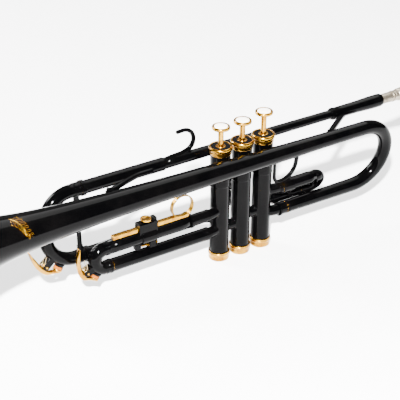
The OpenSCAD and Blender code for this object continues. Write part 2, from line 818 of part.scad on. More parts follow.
module first_fixed_tubes() {
    color([0.02, 0.02, 0.025]) {
        tube_x(elbow_x, 81, first_up_y, first_up_z, inner_r, bore_r);
        along_x(0, first_low_y, first_low_z) rotate_extrude() polygon([
            [bore_r, elbow_x], [outer_r - 0.5, elbow_x], [outer_r, elbow_x + 0.8],
            [outer_r, 73.4], [outer_bore, 73.4], [outer_bore, elbow_x + 3], [bore_r, elbow_x + 3]
        ]);
        difference() {
            translate([58.8, first_low_y - 5, first_low_z + 1.3]) rotate([90, 0, 0])
                rotate_extrude() polygon([
                    [0, 0], [2.7, 0], [2.7, 2.7], [2.4, 3.0], [1.4, 3.0], [1.4, 2.4], [0, 2.4]
                ]);
            along_x(50, first_low_y, first_low_z) cylinder(h = 20, r = outer_r);
        }
    }
}

module first_sliding_tube() {
    color([0.02, 0.02, 0.025]) {
        tube_x(41.2, first_turn_x, first_up_y, first_up_z, outer_r, outer_bore);
        tube_x(41.2, 43.6, first_up_y, first_up_z, ferrule_r - 0.15, outer_r);
    }
}

module first_crook() {
    color([0.02, 0.02, 0.025]) {
        u_bend(first_turn_x, first_up_y, first_up_z, first_low_y, first_low_z, 1, outer_r, 5.4);
        ring_x(74.5, first_turn_x, first_low_y, first_low_z, outer_r, bore_r);
        ring_x(74.5, 77.3, first_low_y, first_low_z, ferrule_r, outer_r);
        tube_x(47, 74.5, first_low_y, first_low_z, inner_r, bore_r);
    }
}

// U-shaped saddle for the thumb
module thumb_hook() {
    y = first_up_y - 1.5;
    color([0.02, 0.02, 0.025]) difference() {
        union() {
            rod([34.6, y, 73.7], [34.6, y, 88], 1.4);
            translate([34.6, y, 88]) sphere(r = 1.4);
            translate([41.1, y, 73.7]) rotate([90, 0, 0])
                rotate_extrude(angle = 90, start = 180) translate([6.5, 0]) circle(r = 1.4);
            translate([41.1, y, 86.7]) rotate([90, 0, 0])
                rotate_extrude(angle = 84, start = 270) translate([19.5, 0]) circle(r = 1.4);
            rod([60.5, y, 84.7], [61.0, y, 88], 1.4);
            translate([61.0, y, 88]) sphere(r = 1.4);
            difference() {
                along_x(44.5, first_up_y, first_up_z) cylinder(h = 13, r = outer_r + 1);
                translate([40, first_up_y - 10, first_up_z - 10]) cube([30, 20, 12]);
            }
        }
        along_x(30, first_up_y, first_up_z) cylinder(h = 40, r = outer_r);
        tube_x(41, 44, first_up_y, first_up_z, ferrule_r - 0.15, 1);
    }
}

// ---- second slide ----

module along_y(y, z) {
    translate([0, y, z]) rotate([-90, 0, 0]) children();
}

module second_fixed_tubes() {
    color([0.02, 0.02, 0.025])
        for (z = [second_low_z, second_up_z])
            along_y(0, z) rotate_extrude() polygon([
                [bore_r, 13], [outer_r - 0.4, 13], [outer_r, 13.5], [outer_r, 21.4],
                [ferrule_r, 21.6], [ferrule_r, 23.7], [ferrule_r - 0.3, 24], [outer_bore, 24],
                [outer_bore, 14.6], [bore_r, 14.6]
            ]);
}

module second_slide() {
    half = (second_up_z - second_low_z) / 2;
    color([0.02, 0.02, 0.025]) {
        translate([0, second_turn_y, second_low_z + half]) rotate([0, 90, 0])
            rotate_extrude(angle = 180, start = 0)
                translate([half, 0]) difference() {
                    circle(r = outer_r);
                    circle(r = bore_r);
                }
        for (z = [second_low_z, second_up_z])
            along_y(0, z) rotate_extrude() polygon([
                [bore_r, 16], [inner_r, 16], [inner_r, 24.9], [ferrule_r - 0.2, 24.9],
                [ferrule_r - 0.2, second_turn_y - 0.3], [ferrule_r - 0.5, second_turn_y],
                [bore_r, second_turn_y]
            ]);
    }
}

// ---- pistons, buttons and springs ----

module piston(x, tilt_from, z_from, z_to) {
    color([0.75, 0.75, 0.72])
        translate([x, 0, 0]) difference() {
            translate([0, 0, piston_low])
                cylinder(h = piston_high - piston_low, r = piston_r);
            translate([0, 0, 92]) cylinder(h = 17, r = piston_r - 1.2);
            translate([0, 0, piston_low - 1]) cylinder(h = 3, r = piston_r - 1.2);
            for (up = [0, stroke])
                rotate([0, 0, tilt_from]) translate([-12, 0, z_from + up])
                    rotate([0, 90 - atan2(z_to - z_from, 24), 0])
                        translate([0, 0, -4]) cylinder(h = 34, r = bore_r);
            translate([0, 0, piston_high - 5]) cylinder(h = 10, r = stem_r);
        }
}

module piston_1() {
    piston(x1, 0, knuckle_21_z, tail_z);
}

module piston_2() {
    piston(0, 0, knuckle_32_z, knuckle_21_z);
}

module piston_3() {
    piston(x3, -20, low_z, knuckle_32_z);
}

module button(x, lift = 0) {
    z = button_z + lift;
    color([0.85, 0.62, 0.22])
        translate([x, 0, 0]) rotate_extrude() polygon([
            [0, piston_high - 2.5], [stem_r, piston_high - 2.5], [stem_r, piston_high],
            [4.6, piston_high], [4.6, piston_high + 1.6], [stem_r, piston_high + 2.2],
            [stem_r, z - 0.4], [3.2, z - 0.1], [4.6, z], [7.4, z + 0.35], [8.3, z + 0.9],
            [button_r, z + 1.6], [button_r, z + 2.7], [8.3, z + 3.2], [pearl_r + 0.3, z + 3.35],
            [pearl_r, z + 3.1], [pearl_r, z + 2.3], [0, z + 2.3]
        ]);
}

module button_1() {
    button(x1, button_lift);
}

module button_2() {
    button(0);
}

module button_3() {
    button(x3);
}

module pearl(x, lift = 0) {
    color([0.97, 0.96, 0.92])
        translate([x, 0, button_z + lift]) rotate_extrude() polygon([
            [0, 2.3], [pearl_r, 2.3], [pearl_r, 3.1], [pearl_r - 0.3, 3.35], [5.6, 3.6],
            [3.6, 3.75], [0, 3.8]
        ]);
}

module pearl_1() {
    pearl(x1, button_lift);
}

module pearl_2() {
    pearl(0);
}

module pearl_3() {
    pearl(x3);
}

// round wire wound into a coil, drawn as a swept chain of rings
module valve_spring(x) {
    r = 6.2;
    wire = 0.5;
    sides = 6;
    steps = 14 * spring_turns;
    rise = piston_low + 2 - spring_low - 2 * wire;
    points = [
        for (i = [0:steps], k = [0:sides - 1])
            let (
                turn = 360 * spring_turns * i / steps,
                out = r + wire * cos(360 * k / sides)
            )
            [out * cos(turn), out * sin(turn),
                rise * i / steps + wire * sin(360 * k / sides)]
    ];
    walls = [
        for (i = [0:steps - 1], k = [0:sides - 1])
            let (a = i * sides + k, b = i * sides + (k + 1) % sides)
            each [[a, a + sides, b], [b, a + sides, b + sides]]
    ];
    ends = [
        [for (k = [0:sides - 1]) k],
        [for (k = [sides - 1:-1:0]) steps * sides + k]
    ];
    color([0.8, 0.78, 0.72])
        translate([x, 0, spring_low + wire + 0.05])
            polyhedron(points, concat(walls, ends));
}

module valve_spring_1() {
    valve_spring(x1);
}

module valve_spring_2() {
    valve_spring(0);
}

module valve_spring_3() {
    valve_spring(x3);
}

// ---- mouthpiece ----

module mouthpiece() {
    e = receiver_x + mouthpiece_out;
    color([0.78, 0.76, 0.68])
        along_x(0, lead_y, lead_z) rotate_extrude() polygon([
            [4.0, 160], [shank_r - 0.6, 160], [shank_r, receiver_x], [shank_r + 0.3, 198],
            [5.7, 198.4], [5.7, 200.0], [5.45, 200.4], [5.6, 205.6], [6.3, 206.2],
            [6.4, e - 43], [7.2, e - 36], [9.4, e - 29], [11.6, e - 21], [12.6, e - 12],
            [12.0, e - 6], [12.2, e - 4.4], [13.3, e - 3], [13.4, e - 1.4], [12.6, e - 0.3],
            [11.2, e], [9.6, e - 0.7], [8.3, e - 2.6], [8.0, e - 6], [6.6, e - 11],
            [3.6, e - 15], [1.85, e - 17.5], [1.85, e - 20], [2.6, 190]
        ]);
}

valve_casings();
casing_sleeves();
bottom_caps();
top_caps();
cap_inserts();
valve_knuckles();
port_elbows();
casing_pads();
bell();
bell_rim_wire();
bell_bow();
tube_rings();
leadpipe();
mouthpiece_receiver();
tuning_fixed_tubes();
front_brace();
rear_brace();
pinky_hook();
third_fixed_tubes();
first_fixed_tubes();
second_fixed_tubes();
stop_screw();
piston_1();
piston_2();
piston_3();
button_1();
button_2();
button_3();
pearl_1();
pearl_2();
pearl_3();
valve_spring_1();
valve_spring_2();
valve_spring_3();
tuning_legs();
tuning_crook();
tuning_stay();
tuning_key_seat();
tuning_key_lever();
tuning_key_cork();
tuning_key_spring();
third_sliding_tube();
third_crook();
third_key_seat();
third_key_lever();
third_key_cork();
third_key_spring();
bar_saddle();
ring_bar();
finger_ring();
thumb_screw();
first_sliding_tube();
first_crook();
thumb_hook();
second_slide();
mouthpiece();
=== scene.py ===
import json
import math

import bmesh
import bpy
from mathutils import Matrix, Vector


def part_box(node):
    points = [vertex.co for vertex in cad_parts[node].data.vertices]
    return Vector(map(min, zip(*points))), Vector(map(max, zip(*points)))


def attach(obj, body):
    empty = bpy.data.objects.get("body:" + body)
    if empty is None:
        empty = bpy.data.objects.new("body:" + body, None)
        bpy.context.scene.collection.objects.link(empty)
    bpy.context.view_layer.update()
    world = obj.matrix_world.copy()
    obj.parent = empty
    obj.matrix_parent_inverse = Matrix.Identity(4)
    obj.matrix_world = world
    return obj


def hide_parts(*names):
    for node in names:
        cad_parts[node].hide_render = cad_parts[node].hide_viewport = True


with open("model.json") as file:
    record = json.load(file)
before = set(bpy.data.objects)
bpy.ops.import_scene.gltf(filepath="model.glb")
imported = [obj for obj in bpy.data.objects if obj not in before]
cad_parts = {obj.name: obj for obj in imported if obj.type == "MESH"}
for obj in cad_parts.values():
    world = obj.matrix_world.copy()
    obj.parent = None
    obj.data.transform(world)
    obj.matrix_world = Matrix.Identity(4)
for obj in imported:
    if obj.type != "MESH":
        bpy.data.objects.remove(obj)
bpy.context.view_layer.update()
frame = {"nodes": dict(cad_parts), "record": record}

nodes = frame["nodes"]
mm = 0.001
# in the frame +X is towards the mouthpiece, +Y towards the leadpipe and +Z up along the pistons
print("frame loaded:", len(nodes), "nodes")


# places in millimetres, read from the frame
def low(node):
    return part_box(node)[0] * 1000


def high(node):
    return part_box(node)[1] * 1000


def middle(node):
    return (low(node) + high(node)) / 2


# ---- shader helpers ----


class Signal:  # a socket that can stand in sums
    def __init__(self, paint, socket):
        self.paint = paint
        self.socket = socket

    def calc(self, operation, other):
        return self.paint.add("ShaderNodeMath", {"operation": operation}, {0: self, 1: other})

    def __add__(self, other):
        return self.calc("ADD", other)

    def __mul__(self, other):
        return self.calc("MULTIPLY", other)

    def __sub__(self, other):
        return self.calc("SUBTRACT", other)


def setStops(ramp, stops):  # grey values along a colour ramp, which starts with two stops
    for index, (position, value) in enumerate(stops):
        stop = ramp.elements[index] if index < 2 else ramp.elements.new(position)
        stop.position = position
        stop.color = (value, value, value, 1)


class Paint:  # one material and the nodes that feed its shader
    def __init__(self, name, **fixed):
        self.material = bpy.data.materials.new(name)
        self.material.use_nodes = True
        self.tree = self.material.node_tree
        self.shader = self.tree.nodes["Principled BSDF"]
        for socket, value in fixed.items():
            self.shader.inputs[socket.replace("_", " ")].default_value = value
        self.place = self.add("ShaderNodeTexCoord", {}, {}, "Object")

    def add(self, kind, settings, values, out=0):
        node = self.tree.nodes.new(kind)
        for key, value in settings.items():
            if key == "stops":
                setStops(node.color_ramp, value)
            else:
                setattr(node, key, value)
        for key, value in values.items():
            if isinstance(value, Signal):
                self.tree.links.new(value.socket, node.inputs[key])
            else:
                node.inputs[key].default_value = value
        return Signal(self, node.outputs[out])

    def noise(self, size, detail=3.0, rough=0.5, stretch=(1, 1, 1), seed=0.0):
        shift = self.add("ShaderNodeMapping", {}, {
            "Vector": self.place, "Location": (seed, seed * 0.7, -seed), "Scale": stretch})
        return self.add("ShaderNodeTexNoise", {}, {
            "Vector": shift, "Scale": 1 / (size * mm), "Detail": detail, "Roughness": rough})

    def ramp(self, signal, *stops):
        return self.add("ShaderNodeValToRGB", {"stops": stops}, {"Fac": signal})

    def blend(self, mask, first, second):
        return self.add("ShaderNodeMix", {"data_type": "RGBA"}, {0: mask, 6: first, 7: second}, 2)

    def feed(self, socket, signal):
        self.tree.links.new(signal.socket, self.shader.inputs[socket])

    def bump(self, height, depth, strength=1.0):
        normal = self.add("ShaderNodeBump", {}, {
            "Height": height, "Distance": depth * mm, "Strength": strength})
        self.feed("Normal", normal)


def colour(r, g, b):
    return (r, g, b, 1.0)


# ---- finishes ----

lacquer = {
    "deep": colour(0.0003, 0.0003, 0.00035),
    "worn": colour(0.0011, 0.001, 0.001),
    "roughness": (0.05, 0.14),
    "smudgeSize": 26.0,
    "peelSize": 1.5,
    "peelDepth": 0.0016,
}


def makeLacquer():
    paint = Paint("black_lacquer", IOR=1.108)
    smudge = paint.ramp(paint.noise(lacquer["smudgeSize"], 5, 0.62), (0.42, 0), (0.68, 1))
    fine = paint.noise(0.6, 3, 0.6, seed=3.0)
    lint = paint.ramp(paint.noise(0.35, 1, 0.5, seed=9.0), (0.76, 0), (0.8, 1))
    paint.feed("Base Color", paint.blend(
        smudge * 0.5 + lint * 0.5, lacquer["deep"], lacquer["worn"]))
    lowest, highest = lacquer["roughness"]
    paint.feed("Roughness", smudge * (highest - lowest) * 0.6 + fine * 0.03 + lint * 0.2 + lowest)
    paint.bump(paint.noise(lacquer["peelSize"], 2, 0.5), lacquer["peelDepth"])
    return paint.material


gold = {
    "bright": colour(0.37, 0.195, 0.014),
    "deep": colour(0.17, 0.065, 0.005),
    "roughness": (0.15, 0.32),
    "cloudSize": 7.0,
    "lineSize": 0.5,
}


def makeGold():
    paint = Paint("gold_trim")
    paint.shader.inputs["Metallic"].default_value = 1.0
    cloud = paint.ramp(paint.noise(gold["cloudSize"], 4, 0.6), (0.35, 0), (0.7, 1))
    lines = paint.noise(gold["lineSize"], 2, 0.5, (0.12, 0.12, 1.0), 2.0)
    paint.feed("Base Color", paint.blend(cloud, gold["bright"], gold["deep"]))
    lowest, highest = gold["roughness"]
    paint.feed("Roughness", cloud * (highest - lowest) * 0.7 + lines * 0.08 + lowest)
    paint.bump(lines, 0.004, 0.5)
    return paint.material


def makeInsert():
    paint = Paint("cap_insert", Roughness=0.6, IOR=1.05)
    grain = paint.noise(0.35, 3, 0.7)
    paint.feed("Base Color", paint.blend(
        grain, colour(0.0008, 0.0008, 0.001), colour(0.003, 0.003, 0.0033)))
    paint.feed("Roughness", grain * 0.25 + 0.4)
    paint.bump(grain, 0.03)
    return paint.material


def makePearl():
    paint = Paint("pearl", IOR=1.3)
    swirl = paint.noise(3.0, 4, 0.6, (1, 1.8, 1))
    cloud = paint.ramp(swirl, (0.35, 0), (0.65, 1))
    paint.feed("Base Color", paint.blend(
        cloud, colour(0.86, 0.80, 0.72), colour(0.70, 0.66, 0.60)))
    paint.feed("Roughness", cloud * 0.12 + 0.14)
    paint.bump(swirl, 0.01, 0.4)
    return paint.material


metals = {
    # light colour, dark colour, size of the clouds, least roughness, its spread, depth of scratches
    "nickel_piston": (colour(0.34, 0.33, 0.31), colour(0.22, 0.21, 0.19), 12, 0.22, 0.2, 0.3),
    "spring_wire": (colour(0.34, 0.32, 0.28), colour(0.2, 0.18, 0.15), 4, 0.25, 0.2, 0.3),
    "key_spring": (colour(0.50, 0.38, 0.2), colour(0.3, 0.2, 0.1), 3, 0.18, 0.15, 0.3),
    "ring_gold": (colour(0.22, 0.12, 0.006), colour(0.14, 0.065, 0.003), 7, 0.15, 0.2, 0.3),
    "slide_leg": (colour(0.36, 0.26, 0.14), colour(0.22, 0.14, 0.07), 14, 0.2, 0.2, 0.3),
    "silver_plate": (colour(0.27, 0.24, 0.19), colour(0.10, 0.075, 0.05), 5, 0.3, 0.25, 0.8),
}


def makeMetal(name, light, dark, size, roughness, spread, scratch):
    paint = Paint(name)
    paint.shader.inputs["Metallic"].default_value = 1.0
    cloud = paint.ramp(paint.noise(size, 5, 0.65), (0.36, 0), (0.66, 1))
    lines = paint.noise(0.5, 2, 0.5, (0.08, 1, 1), 5.0)
    paint.feed("Base Color", paint.blend(cloud, light, dark))
    paint.feed("Roughness", cloud * spread + lines * 0.1 + roughness)
    paint.bump(lines, 0.006, scratch)
    return paint.material


def makeCork():
    paint = Paint("key_cork", IOR=1.1)
    grain = paint.noise(0.5, 5, 0.75)
    pits = paint.ramp(paint.noise(0.9, 2, 0.5, seed=4.0), (0.6, 0), (0.7, 1))
    tint = paint.blend(grain, colour(0.20, 0.055, 0.004), colour(0.12, 0.03, 0.003))
    paint.feed("Base Color", paint.blend(pits, tint, colour(0.08, 0.03, 0.01)))
    paint.feed("Roughness", grain * 0.3 + 0.55)
    paint.bump(grain - pits * 0.6, 0.12)
    return paint.material


finishes = {
    "black_lacquer": makeLacquer(),
    "gold_trim": makeGold(),
    "cap_insert": makeInsert(),
    "pearl": makePearl(),
    "key_cork": makeCork(),
}
for name, values in metals.items():
    finishes[name] = makeMetal(name, *values)
slotOf = {s["node"]: s["material_slot"] for s in frame["record"]["subparts"]}
for name, node in nodes.items():
    node.data.materials.clear()
    node.data.materials.append(finishes[slotOf[name]])
print("finishes made:", len(finishes))

# ---- makers ----


def softened(profile, edge):  # rounds each corner of (along, radius) pairs and adds support rings
    result = [Vector(profile[0])]
    for before, corner, after in zip(profile, profile[1:], profile[2:]):
        corner = Vector(corner)
        back, ahead = Vector(before) - corner, Vector(after) - corner
        if back.angle(ahead) > math.radians(170):
            result.append(corner)
            continue
        reach = min(edge, back.length / 5, ahead.length / 5)
        back.normalize()
        ahead.normalize()
        result.append(corner + back * reach * 2)
        for t in (0.0, 0.33, 0.67, 1.0):
            first = (corner + back * reach).lerp(corner, t)
            result.append(first.lerp(corner.lerp(corner + ahead * reach, t), t))
        result.append(corner + ahead * reach * 2)
    result.append(Vector(profile[-1]))
    return result


def smoothPath(points, steps=10):  # a rounded line through a few points
    points = [Vector(p) for p in points]
    full = [points[0] * 2 - points[1], *points, points[-1] * 2 - points[-2]]
    result = []
    for a, b, c, d in zip(full, full[1:], full[2:], full[3:]):
        for k in range(steps):
            t = k / steps
            result.append(0.5 * (2 * b + (c - a) * t + (2 * a - 5 * b + 4 * c - d) * t ** 2
                                 + (3 * b - a - 3 * c + d) * t ** 3))
    return result + [points[-1]]


def arc(centre, first, second, start, stop, steps):  # points round a centre, degrees
    result = []
    for k in range(steps + 1):
        t = math.radians(start + (stop - start) * k / steps)
        result.append(Vector(centre) + Vector(first) * math.cos(t) + Vector(second) * math.sin(t))
    return result


def own(piece, body, slot, *replaced, finish=None):  # finish, body and the nodes it stands for
    piece.data.materials.append(finishes[finish or slot])
    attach(piece, body)
    if replaced:
        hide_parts(*replaced)
    return piece


class Pipework:  # a curve in millimetres whose points carry their own radius
    def __init__(self, name, wall=0.0, sides=44):
        self.curve = bpy.data.curves.new(name, "CURVE")
        self.curve.dimensions = "3D"
        self.curve.bevel_depth = mm
        self.curve.bevel_resolution = (sides - 4) // 2
        self.curve.use_fill_caps = wall == 0
        self.piece = bpy.data.objects.new(name, self.curve)
        bpy.context.scene.collection.objects.link(self.piece)
        if wall:
            shell = self.piece.modifiers.new("wall", "SOLIDIFY")
            shell.thickness = wall * mm
            shell.offset = -1

    def run(self, points, radii, closed=False):
        spline = self.curve.splines.new("POLY")
        spline.points.add(len(points) - 1)
        radii = radii if hasattr(radii, "__len__") else [radii] * len(points)
        for point, spot, radius in zip(spline.points, points, radii):
            point.co = (*(Vector(spot) * mm), 1)
            point.radius = radius
        spline.use_cyclic_u = closed
        spline.use_smooth = True
        return self

    def turned(self, spot, axis, profile, edge=0.3):  # along is measured from spot
        rings = softened(profile, edge)
        return self.run([Vector(spot) + Vector(axis) * r.x for r in rings], [r.y for r in rings])

    def stem(self, points, radii, foot=(0, 0), soft=1.4):  # rod whose ends flare into feet
        path = [Vector(p) for p in points]
        gone = [0.0]
        for a, b in zip(path, path[1:]):
            gone.append(gone[-1] + (b - a).length)
        total = gone[-1]
        sizes = []
        for s in gone:
            radius = radii[0] + (radii[1] - radii[0]) * s / total
            radius += foot[0] * math.exp(-s / soft) + foot[1] * math.exp((s - total) / soft)
            sizes.append(radius)
        return self.run(path, sizes)


def straight(start, stop, steps=40):
    return [Vector(start).lerp(Vector(stop), k / steps) for k in range(steps + 1)]


def rounded(points, radii, steps=12):  # ends of a rod closed by half balls
    path = [Vector(p) for p in points]
    radii = list(radii) if hasattr(radii, "__len__") else [radii] * len(path)
    head, tail = (path[0] - path[1]).normalized(), (path[-1] - path[-2]).normalized()
    front, back, frontSizes, backSizes = [], [], [], []
    for k in range(1, steps + 1):
        t = math.pi / 2 * k / steps
        front.insert(0, path[0] + head * radii[0] * math.sin(t))
        frontSizes.insert(0, max(radii[0] * math.cos(t), 0.02))
        back.append(path[-1] + tail * radii[-1] * math.sin(t))
        backSizes.append(max(radii[-1] * math.cos(t), 0.02))
    return front + path + back, frontSizes + radii + backSizes


def meshPiece(name, bm):  # a mesh object in place, with its faces outwards
    if bm.calc_volume(signed=True) < 0:
        bmesh.ops.reverse_faces(bm, faces=bm.faces)
    mesh = bpy.data.meshes.new(name)
    bm.to_mesh(mesh)
    bm.free()
    mesh.polygons.foreach_set("use_smooth", [True] * len(mesh.polygons))
    piece = bpy.data.objects.new(name, mesh)
    bpy.context.scene.collection.objects.link(piece)
    return piece


def applied(piece, place=None):  # the stack made real, then the place
    bpy.context.view_layer.update()
    graph = bpy.context.evaluated_depsgraph_get()
    mesh = bpy.data.meshes.new_from_object(piece.evaluated_get(graph))
    piece.modifiers.clear()
    piece.data = mesh
    bm = bmesh.new()
    bm.from_mesh(mesh)
    bmesh.ops.remove_doubles(bm, verts=bm.verts, dist=2e-6)
    if place is not None:
        bm.transform(place)
    if bm.calc_volume(signed=True) < 0:
        bmesh.ops.reverse_faces(bm, faces=bm.faces)
    bm.to_mesh(mesh)
    bm.free()
    mesh.polygons.foreach_set("use_smooth", [True] * len(mesh.polygons))
    mesh.set_sharp_from_angle(angle=math.radians(38))
    return piece


def turnedShell(name, loop, spot, axis="Z", steps=72, edge=0.12):  # loop of (radius, along)
    bm = bmesh.new()
    verts = [bm.verts.new((r * mm, 0, h * mm)) for r, h in loop]
    touching = loop[0][0] == 0 and loop[-1][0] == 0
    for k in range(len(verts) - (1 if touching else 0)):
        bm.edges.new((verts[k], verts[(k + 1) % len(verts)]))
    mesh = bpy.data.meshes.new(name)
    bm.to_mesh(mesh)
    bm.free()
    piece = bpy.data.objects.new(name, mesh)
    bpy.context.scene.collection.objects.link(piece)
    turn = piece.modifiers.new("turn", "SCREW")
    turn.steps = steps
    turn.render_steps = steps
    turn.use_merge_vertices = True
    turn.merge_threshold = 2e-6
    if edge:
        soft = piece.modifiers.new("edges", "BEVEL")
        soft.width = edge * mm
        soft.segments = 2
        soft.limit_method = "ANGLE"
        soft.angle_limit = math.radians(28)
    place = Matrix.Translation(Vector(spot) * mm)
    if axis == "X":
        place = place @ Matrix.Rotation(math.radians(90), 4, "Y")
    return applied(piece, place)


def softEdges(piece, width, segments=3):
    soft = piece.modifiers.new("edges", "BEVEL")
    soft.width = width * mm
    soft.segments = segments
    soft.limit_method = "ANGLE"
    soft.angle_limit = math.radians(25)
    soft.harden_normals = True
    return piece


def addBox(bm, lowest, highest):
    made = bmesh.ops.create_cube(bm, size=1)["verts"]
    lowest, highest = Vector(lowest) * mm, Vector(highest) * mm
    size = highest - lowest
    for v in made:
        v.co = Vector(v.co[i] * size[i] for i in range(3)) + (lowest + highest) / 2


def addSkin(bm, rows, closed=False):  # faces from ring to ring, with both ends filled unless closed
    for a, b in zip(rows, rows[1:] + (rows[:1] if closed else [])):
        for k in range(len(a)):
            m = (k + 1) % len(a)
            bm.faces.new((a[k], b[k], b[m], a[m]))
    if not closed:
        bm.faces.new(rows[0])
        bm.faces.new(rows[-1])
    bmesh.ops.recalc_face_normals(bm, faces=bm.faces)


def addSlab(bm, outline, near, far):  # outline of (x, z) pairs drawn out along Y
    rows = []
    for y in (near, far):
        rows.append([bm.verts.new((x * mm, y * mm, z * mm)) for x, z in outline])
    addSkin(bm, rows)


def joined(first, *others):  # several meshes as one piece
    bm = bmesh.new()
    for piece in (first, *others):
        bm.from_mesh(piece.data)
    bm.to_mesh(first.data)
    bm.free()
    for piece in others:
        bpy.data.objects.remove(piece)
    return first


# ---- driving places, in millimetres ----

tube = {
    "outer": 6.35,
    "inner": 5.92,
    "elbow": 5.25,
    "ring": 6.9,
    "wall": 0.36,
}
valveX = {n: middle("piston_%d" % n).x for n in (1, 2, 3)}
capTop = high("top_caps").z
bellAxis = Vector((0, middle("bell_rim_wire").y, middle("bell_rim_wire").z))
leadAxis = Vector((0, middle("leadpipe").y, middle("leadpipe").z))
lowAxis = low("tuning_legs") + Vector((0, tube["inner"], tube["inner"]))
lowAxis.x = 0
tailAxis = Vector((0, -6.6, low("bell_bow").z + 7))
thirdLow = Vector((0, middle("third_crook").y, low("third_crook").z + 6.7))
thirdUp = Vector((0, middle("third_crook").y, high("third_crook").z - 6.7))
firstUp = Vector((0, low("first_crook").y + tube["outer"], high("first_crook").z - tube["outer"]))
firstLow = Vector((0, high("first_crook").y - tube["ring"], low("first_crook").z + tube["ring"]))
secondLowZ = low("second_fixed_tubes").z + tube["ring"]
secondUpZ = high("second_fixed_tubes").z - tube["ring"]
alongX, alongY, alongZ = Vector((1, 0, 0)), Vector((0, 1, 0)), Vector((0, 0, 1))


def at(axis, x):
    return Vector((x, axis.y, axis.z))


def ferrule(pipes, axis, start, stop, radius, inside=6.2):  # ring with a turned groove
    span = stop - start
    pipes.turned(at(axis, start), alongX, [
        (0, inside), (0.04, radius - 0.22), (0.3, radius), (span * 0.42, radius),
        (span * 0.46, radius - 0.12), (span * 0.54, radius - 0.12), (span * 0.58, radius),
        (span - 0.3, radius), (span - 0.04, radius - 0.22), (span, inside)], 0.15)


# ---- bell ----

bell = {
    "rimX": low("bell_rim_wire").x + 1.7,
    "rimRadius": 60.6,
    "bowX": 132.5,
    "bowRadius": 7.0,
    "tailX": 48.5,
    "tailRadius": 6.4,
    "wall": 0.9,
    "beadRadius": 1.3,
    "rings": 90,
    # the flare and the throat are power laws that meet at the joint, then come two straight tapers
    "jointX": -261.0,
    "jointRadius": 20.2,
    "flarePole": -321.7,
    "flarePower": 0.465,
    "throatPole": -331.0,
    "throatPower": 0.542,
    "neckX": -10.0,
    "neckRadius": 8.78,
    "neckTaper": 0.0165,
    "stemX": 80.0,
    "stemRadius": 7.295,
    "stemTaper": 0.0056,
}


def bellRadius(x):
    joint, size = bell["jointX"], bell["jointRadius"]
    if x < joint:
        pole = bell["flarePole"]
        return min(bell["rimRadius"], size * ((joint - pole) / (x - pole)) ** bell["flarePower"])
    if x < bell["neckX"]:
        pole = bell["throatPole"]
        return size * ((joint - pole) / (x - pole)) ** bell["throatPower"]
    if x < bell["stemX"]:
        return bell["neckRadius"] - (x - bell["neckX"]) * bell["neckTaper"]
    return bell["stemRadius"] - (x - bell["stemX"]) * bell["stemTaper"]


def makeBell():
    pipes = Pipework("bell_with_bow", bell["wall"], 96)
    points, radii = [], []
    for k in range(bell["rings"] + 1):  # closer together towards the rim
        x = bell["rimX"] + (bell["bowX"] - bell["rimX"]) * (k / bell["rings"]) ** 2.2
        points.append(at(bellAxis, x))
        radii.append(bellRadius(x))
    middleAxis = at((bellAxis + tailAxis) / 2, bell["bowX"])
    spread = (bellAxis - tailAxis) / 2
    for spot in arc(middleAxis, spread, alongX * spread.length, 0, 180, 60)[1:]:
        points.append(spot)
        radii.append(bell["bowRadius"])
    for spot in straight(at(tailAxis, bell["bowX"]), at(tailAxis, bell["tailX"]), 24)[1:]:
        points.append(spot)
        share = (bell["bowX"] - spot.x) / (bell["bowX"] - bell["tailX"])
        radii.append(bell["bowRadius"] + (bell["tailRadius"] - bell["bowRadius"]) * share)
    pipes.run(points, radii)
    own(pipes.piece, "horn", "black_lacquer", "bell", "bell_bow")
    bead = Pipework("bell_rim_bead", 0, 20)
    rim = at(bellAxis, bell["rimX"] - 0.4)
    size = bell["rimRadius"] + 0.1
    bead.run(arc(rim, alongY * size, alongZ * size, 0, 357.5, 143), bell["beadRadius"], True)
    own(bead.piece, "horn", "black_lacquer", "bell_rim_wire")


makeBell()
print("bell made")

# ---- gilt leaf sprig on the bell ----

sprig = {
    "x": -247.0,
    "angle": 48.0,
    "length": 27.0,
    "turn": 50.0,
    "wire": 0.11,
    "pairs": 6,
}


def makeSprig():
    drawing = Pipework("bell_sprig", 0, 8)
    turn = math.radians(sprig["turn"])

    def onBell(u, v):  # along the stem and across it, laid on the skin
        x = sprig["x"] + u * math.cos(turn) - v * math.sin(turn)
        rise = u * math.sin(turn) + v * math.cos(turn)
        size = bellRadius(x) + 0.02
        n = math.radians(sprig["angle"]) - rise / size
        return at(bellAxis, x) + Vector((0, -math.cos(n), math.sin(n))) * size

    half = sprig["length"] / 2
    stem = [(u, 1.6 * math.sin(u / half * 2.4)) for u in [half * (k / 20 - 1) for k in range(41)]]
    sizes = [sprig["wire"] * (1.2 - 0.8 * k / 40) for k in range(41)]
    drawing.run([onBell(u, v) for u, v in stem], sizes)
    for k in range(sprig["pairs"]):
        u, v = stem[3 + k * 6]
        reach = 7.6 - 0.7 * k
        for side in (-1, 1):
            for bulge in (0.34, -0.12):
                leaf = []
                for j in range(15):
                    t = j / 14
                    along = reach * t * 0.8
                    across = reach * (0.62 * t + bulge * math.sin(math.pi * t))
                    leaf.append(onBell(u + along, v + side * across))
                sizes = [0.5 + 0.9 * math.sin(math.pi * j / 14) for j in range(15)]
                drawing.run(leaf, [sprig["wire"] * size for size in sizes])
    own(drawing.piece, "horn", "gold_trim", finish="ring_gold")


makeSprig()
print("sprig made")

# ---- leadpipe, receiver and fixed tubes ----

leadpipe = {
    "front": -79.0,
    "back": 119.0,
    "radius": 4.6,
    "growth": 0.0045,
    "receiverStart": 118.6,
    "receiverEnd": 184.5,
    "tuningX": -165.5,
    "lowStart": -51.5,
    "endRing": 7.4,
}


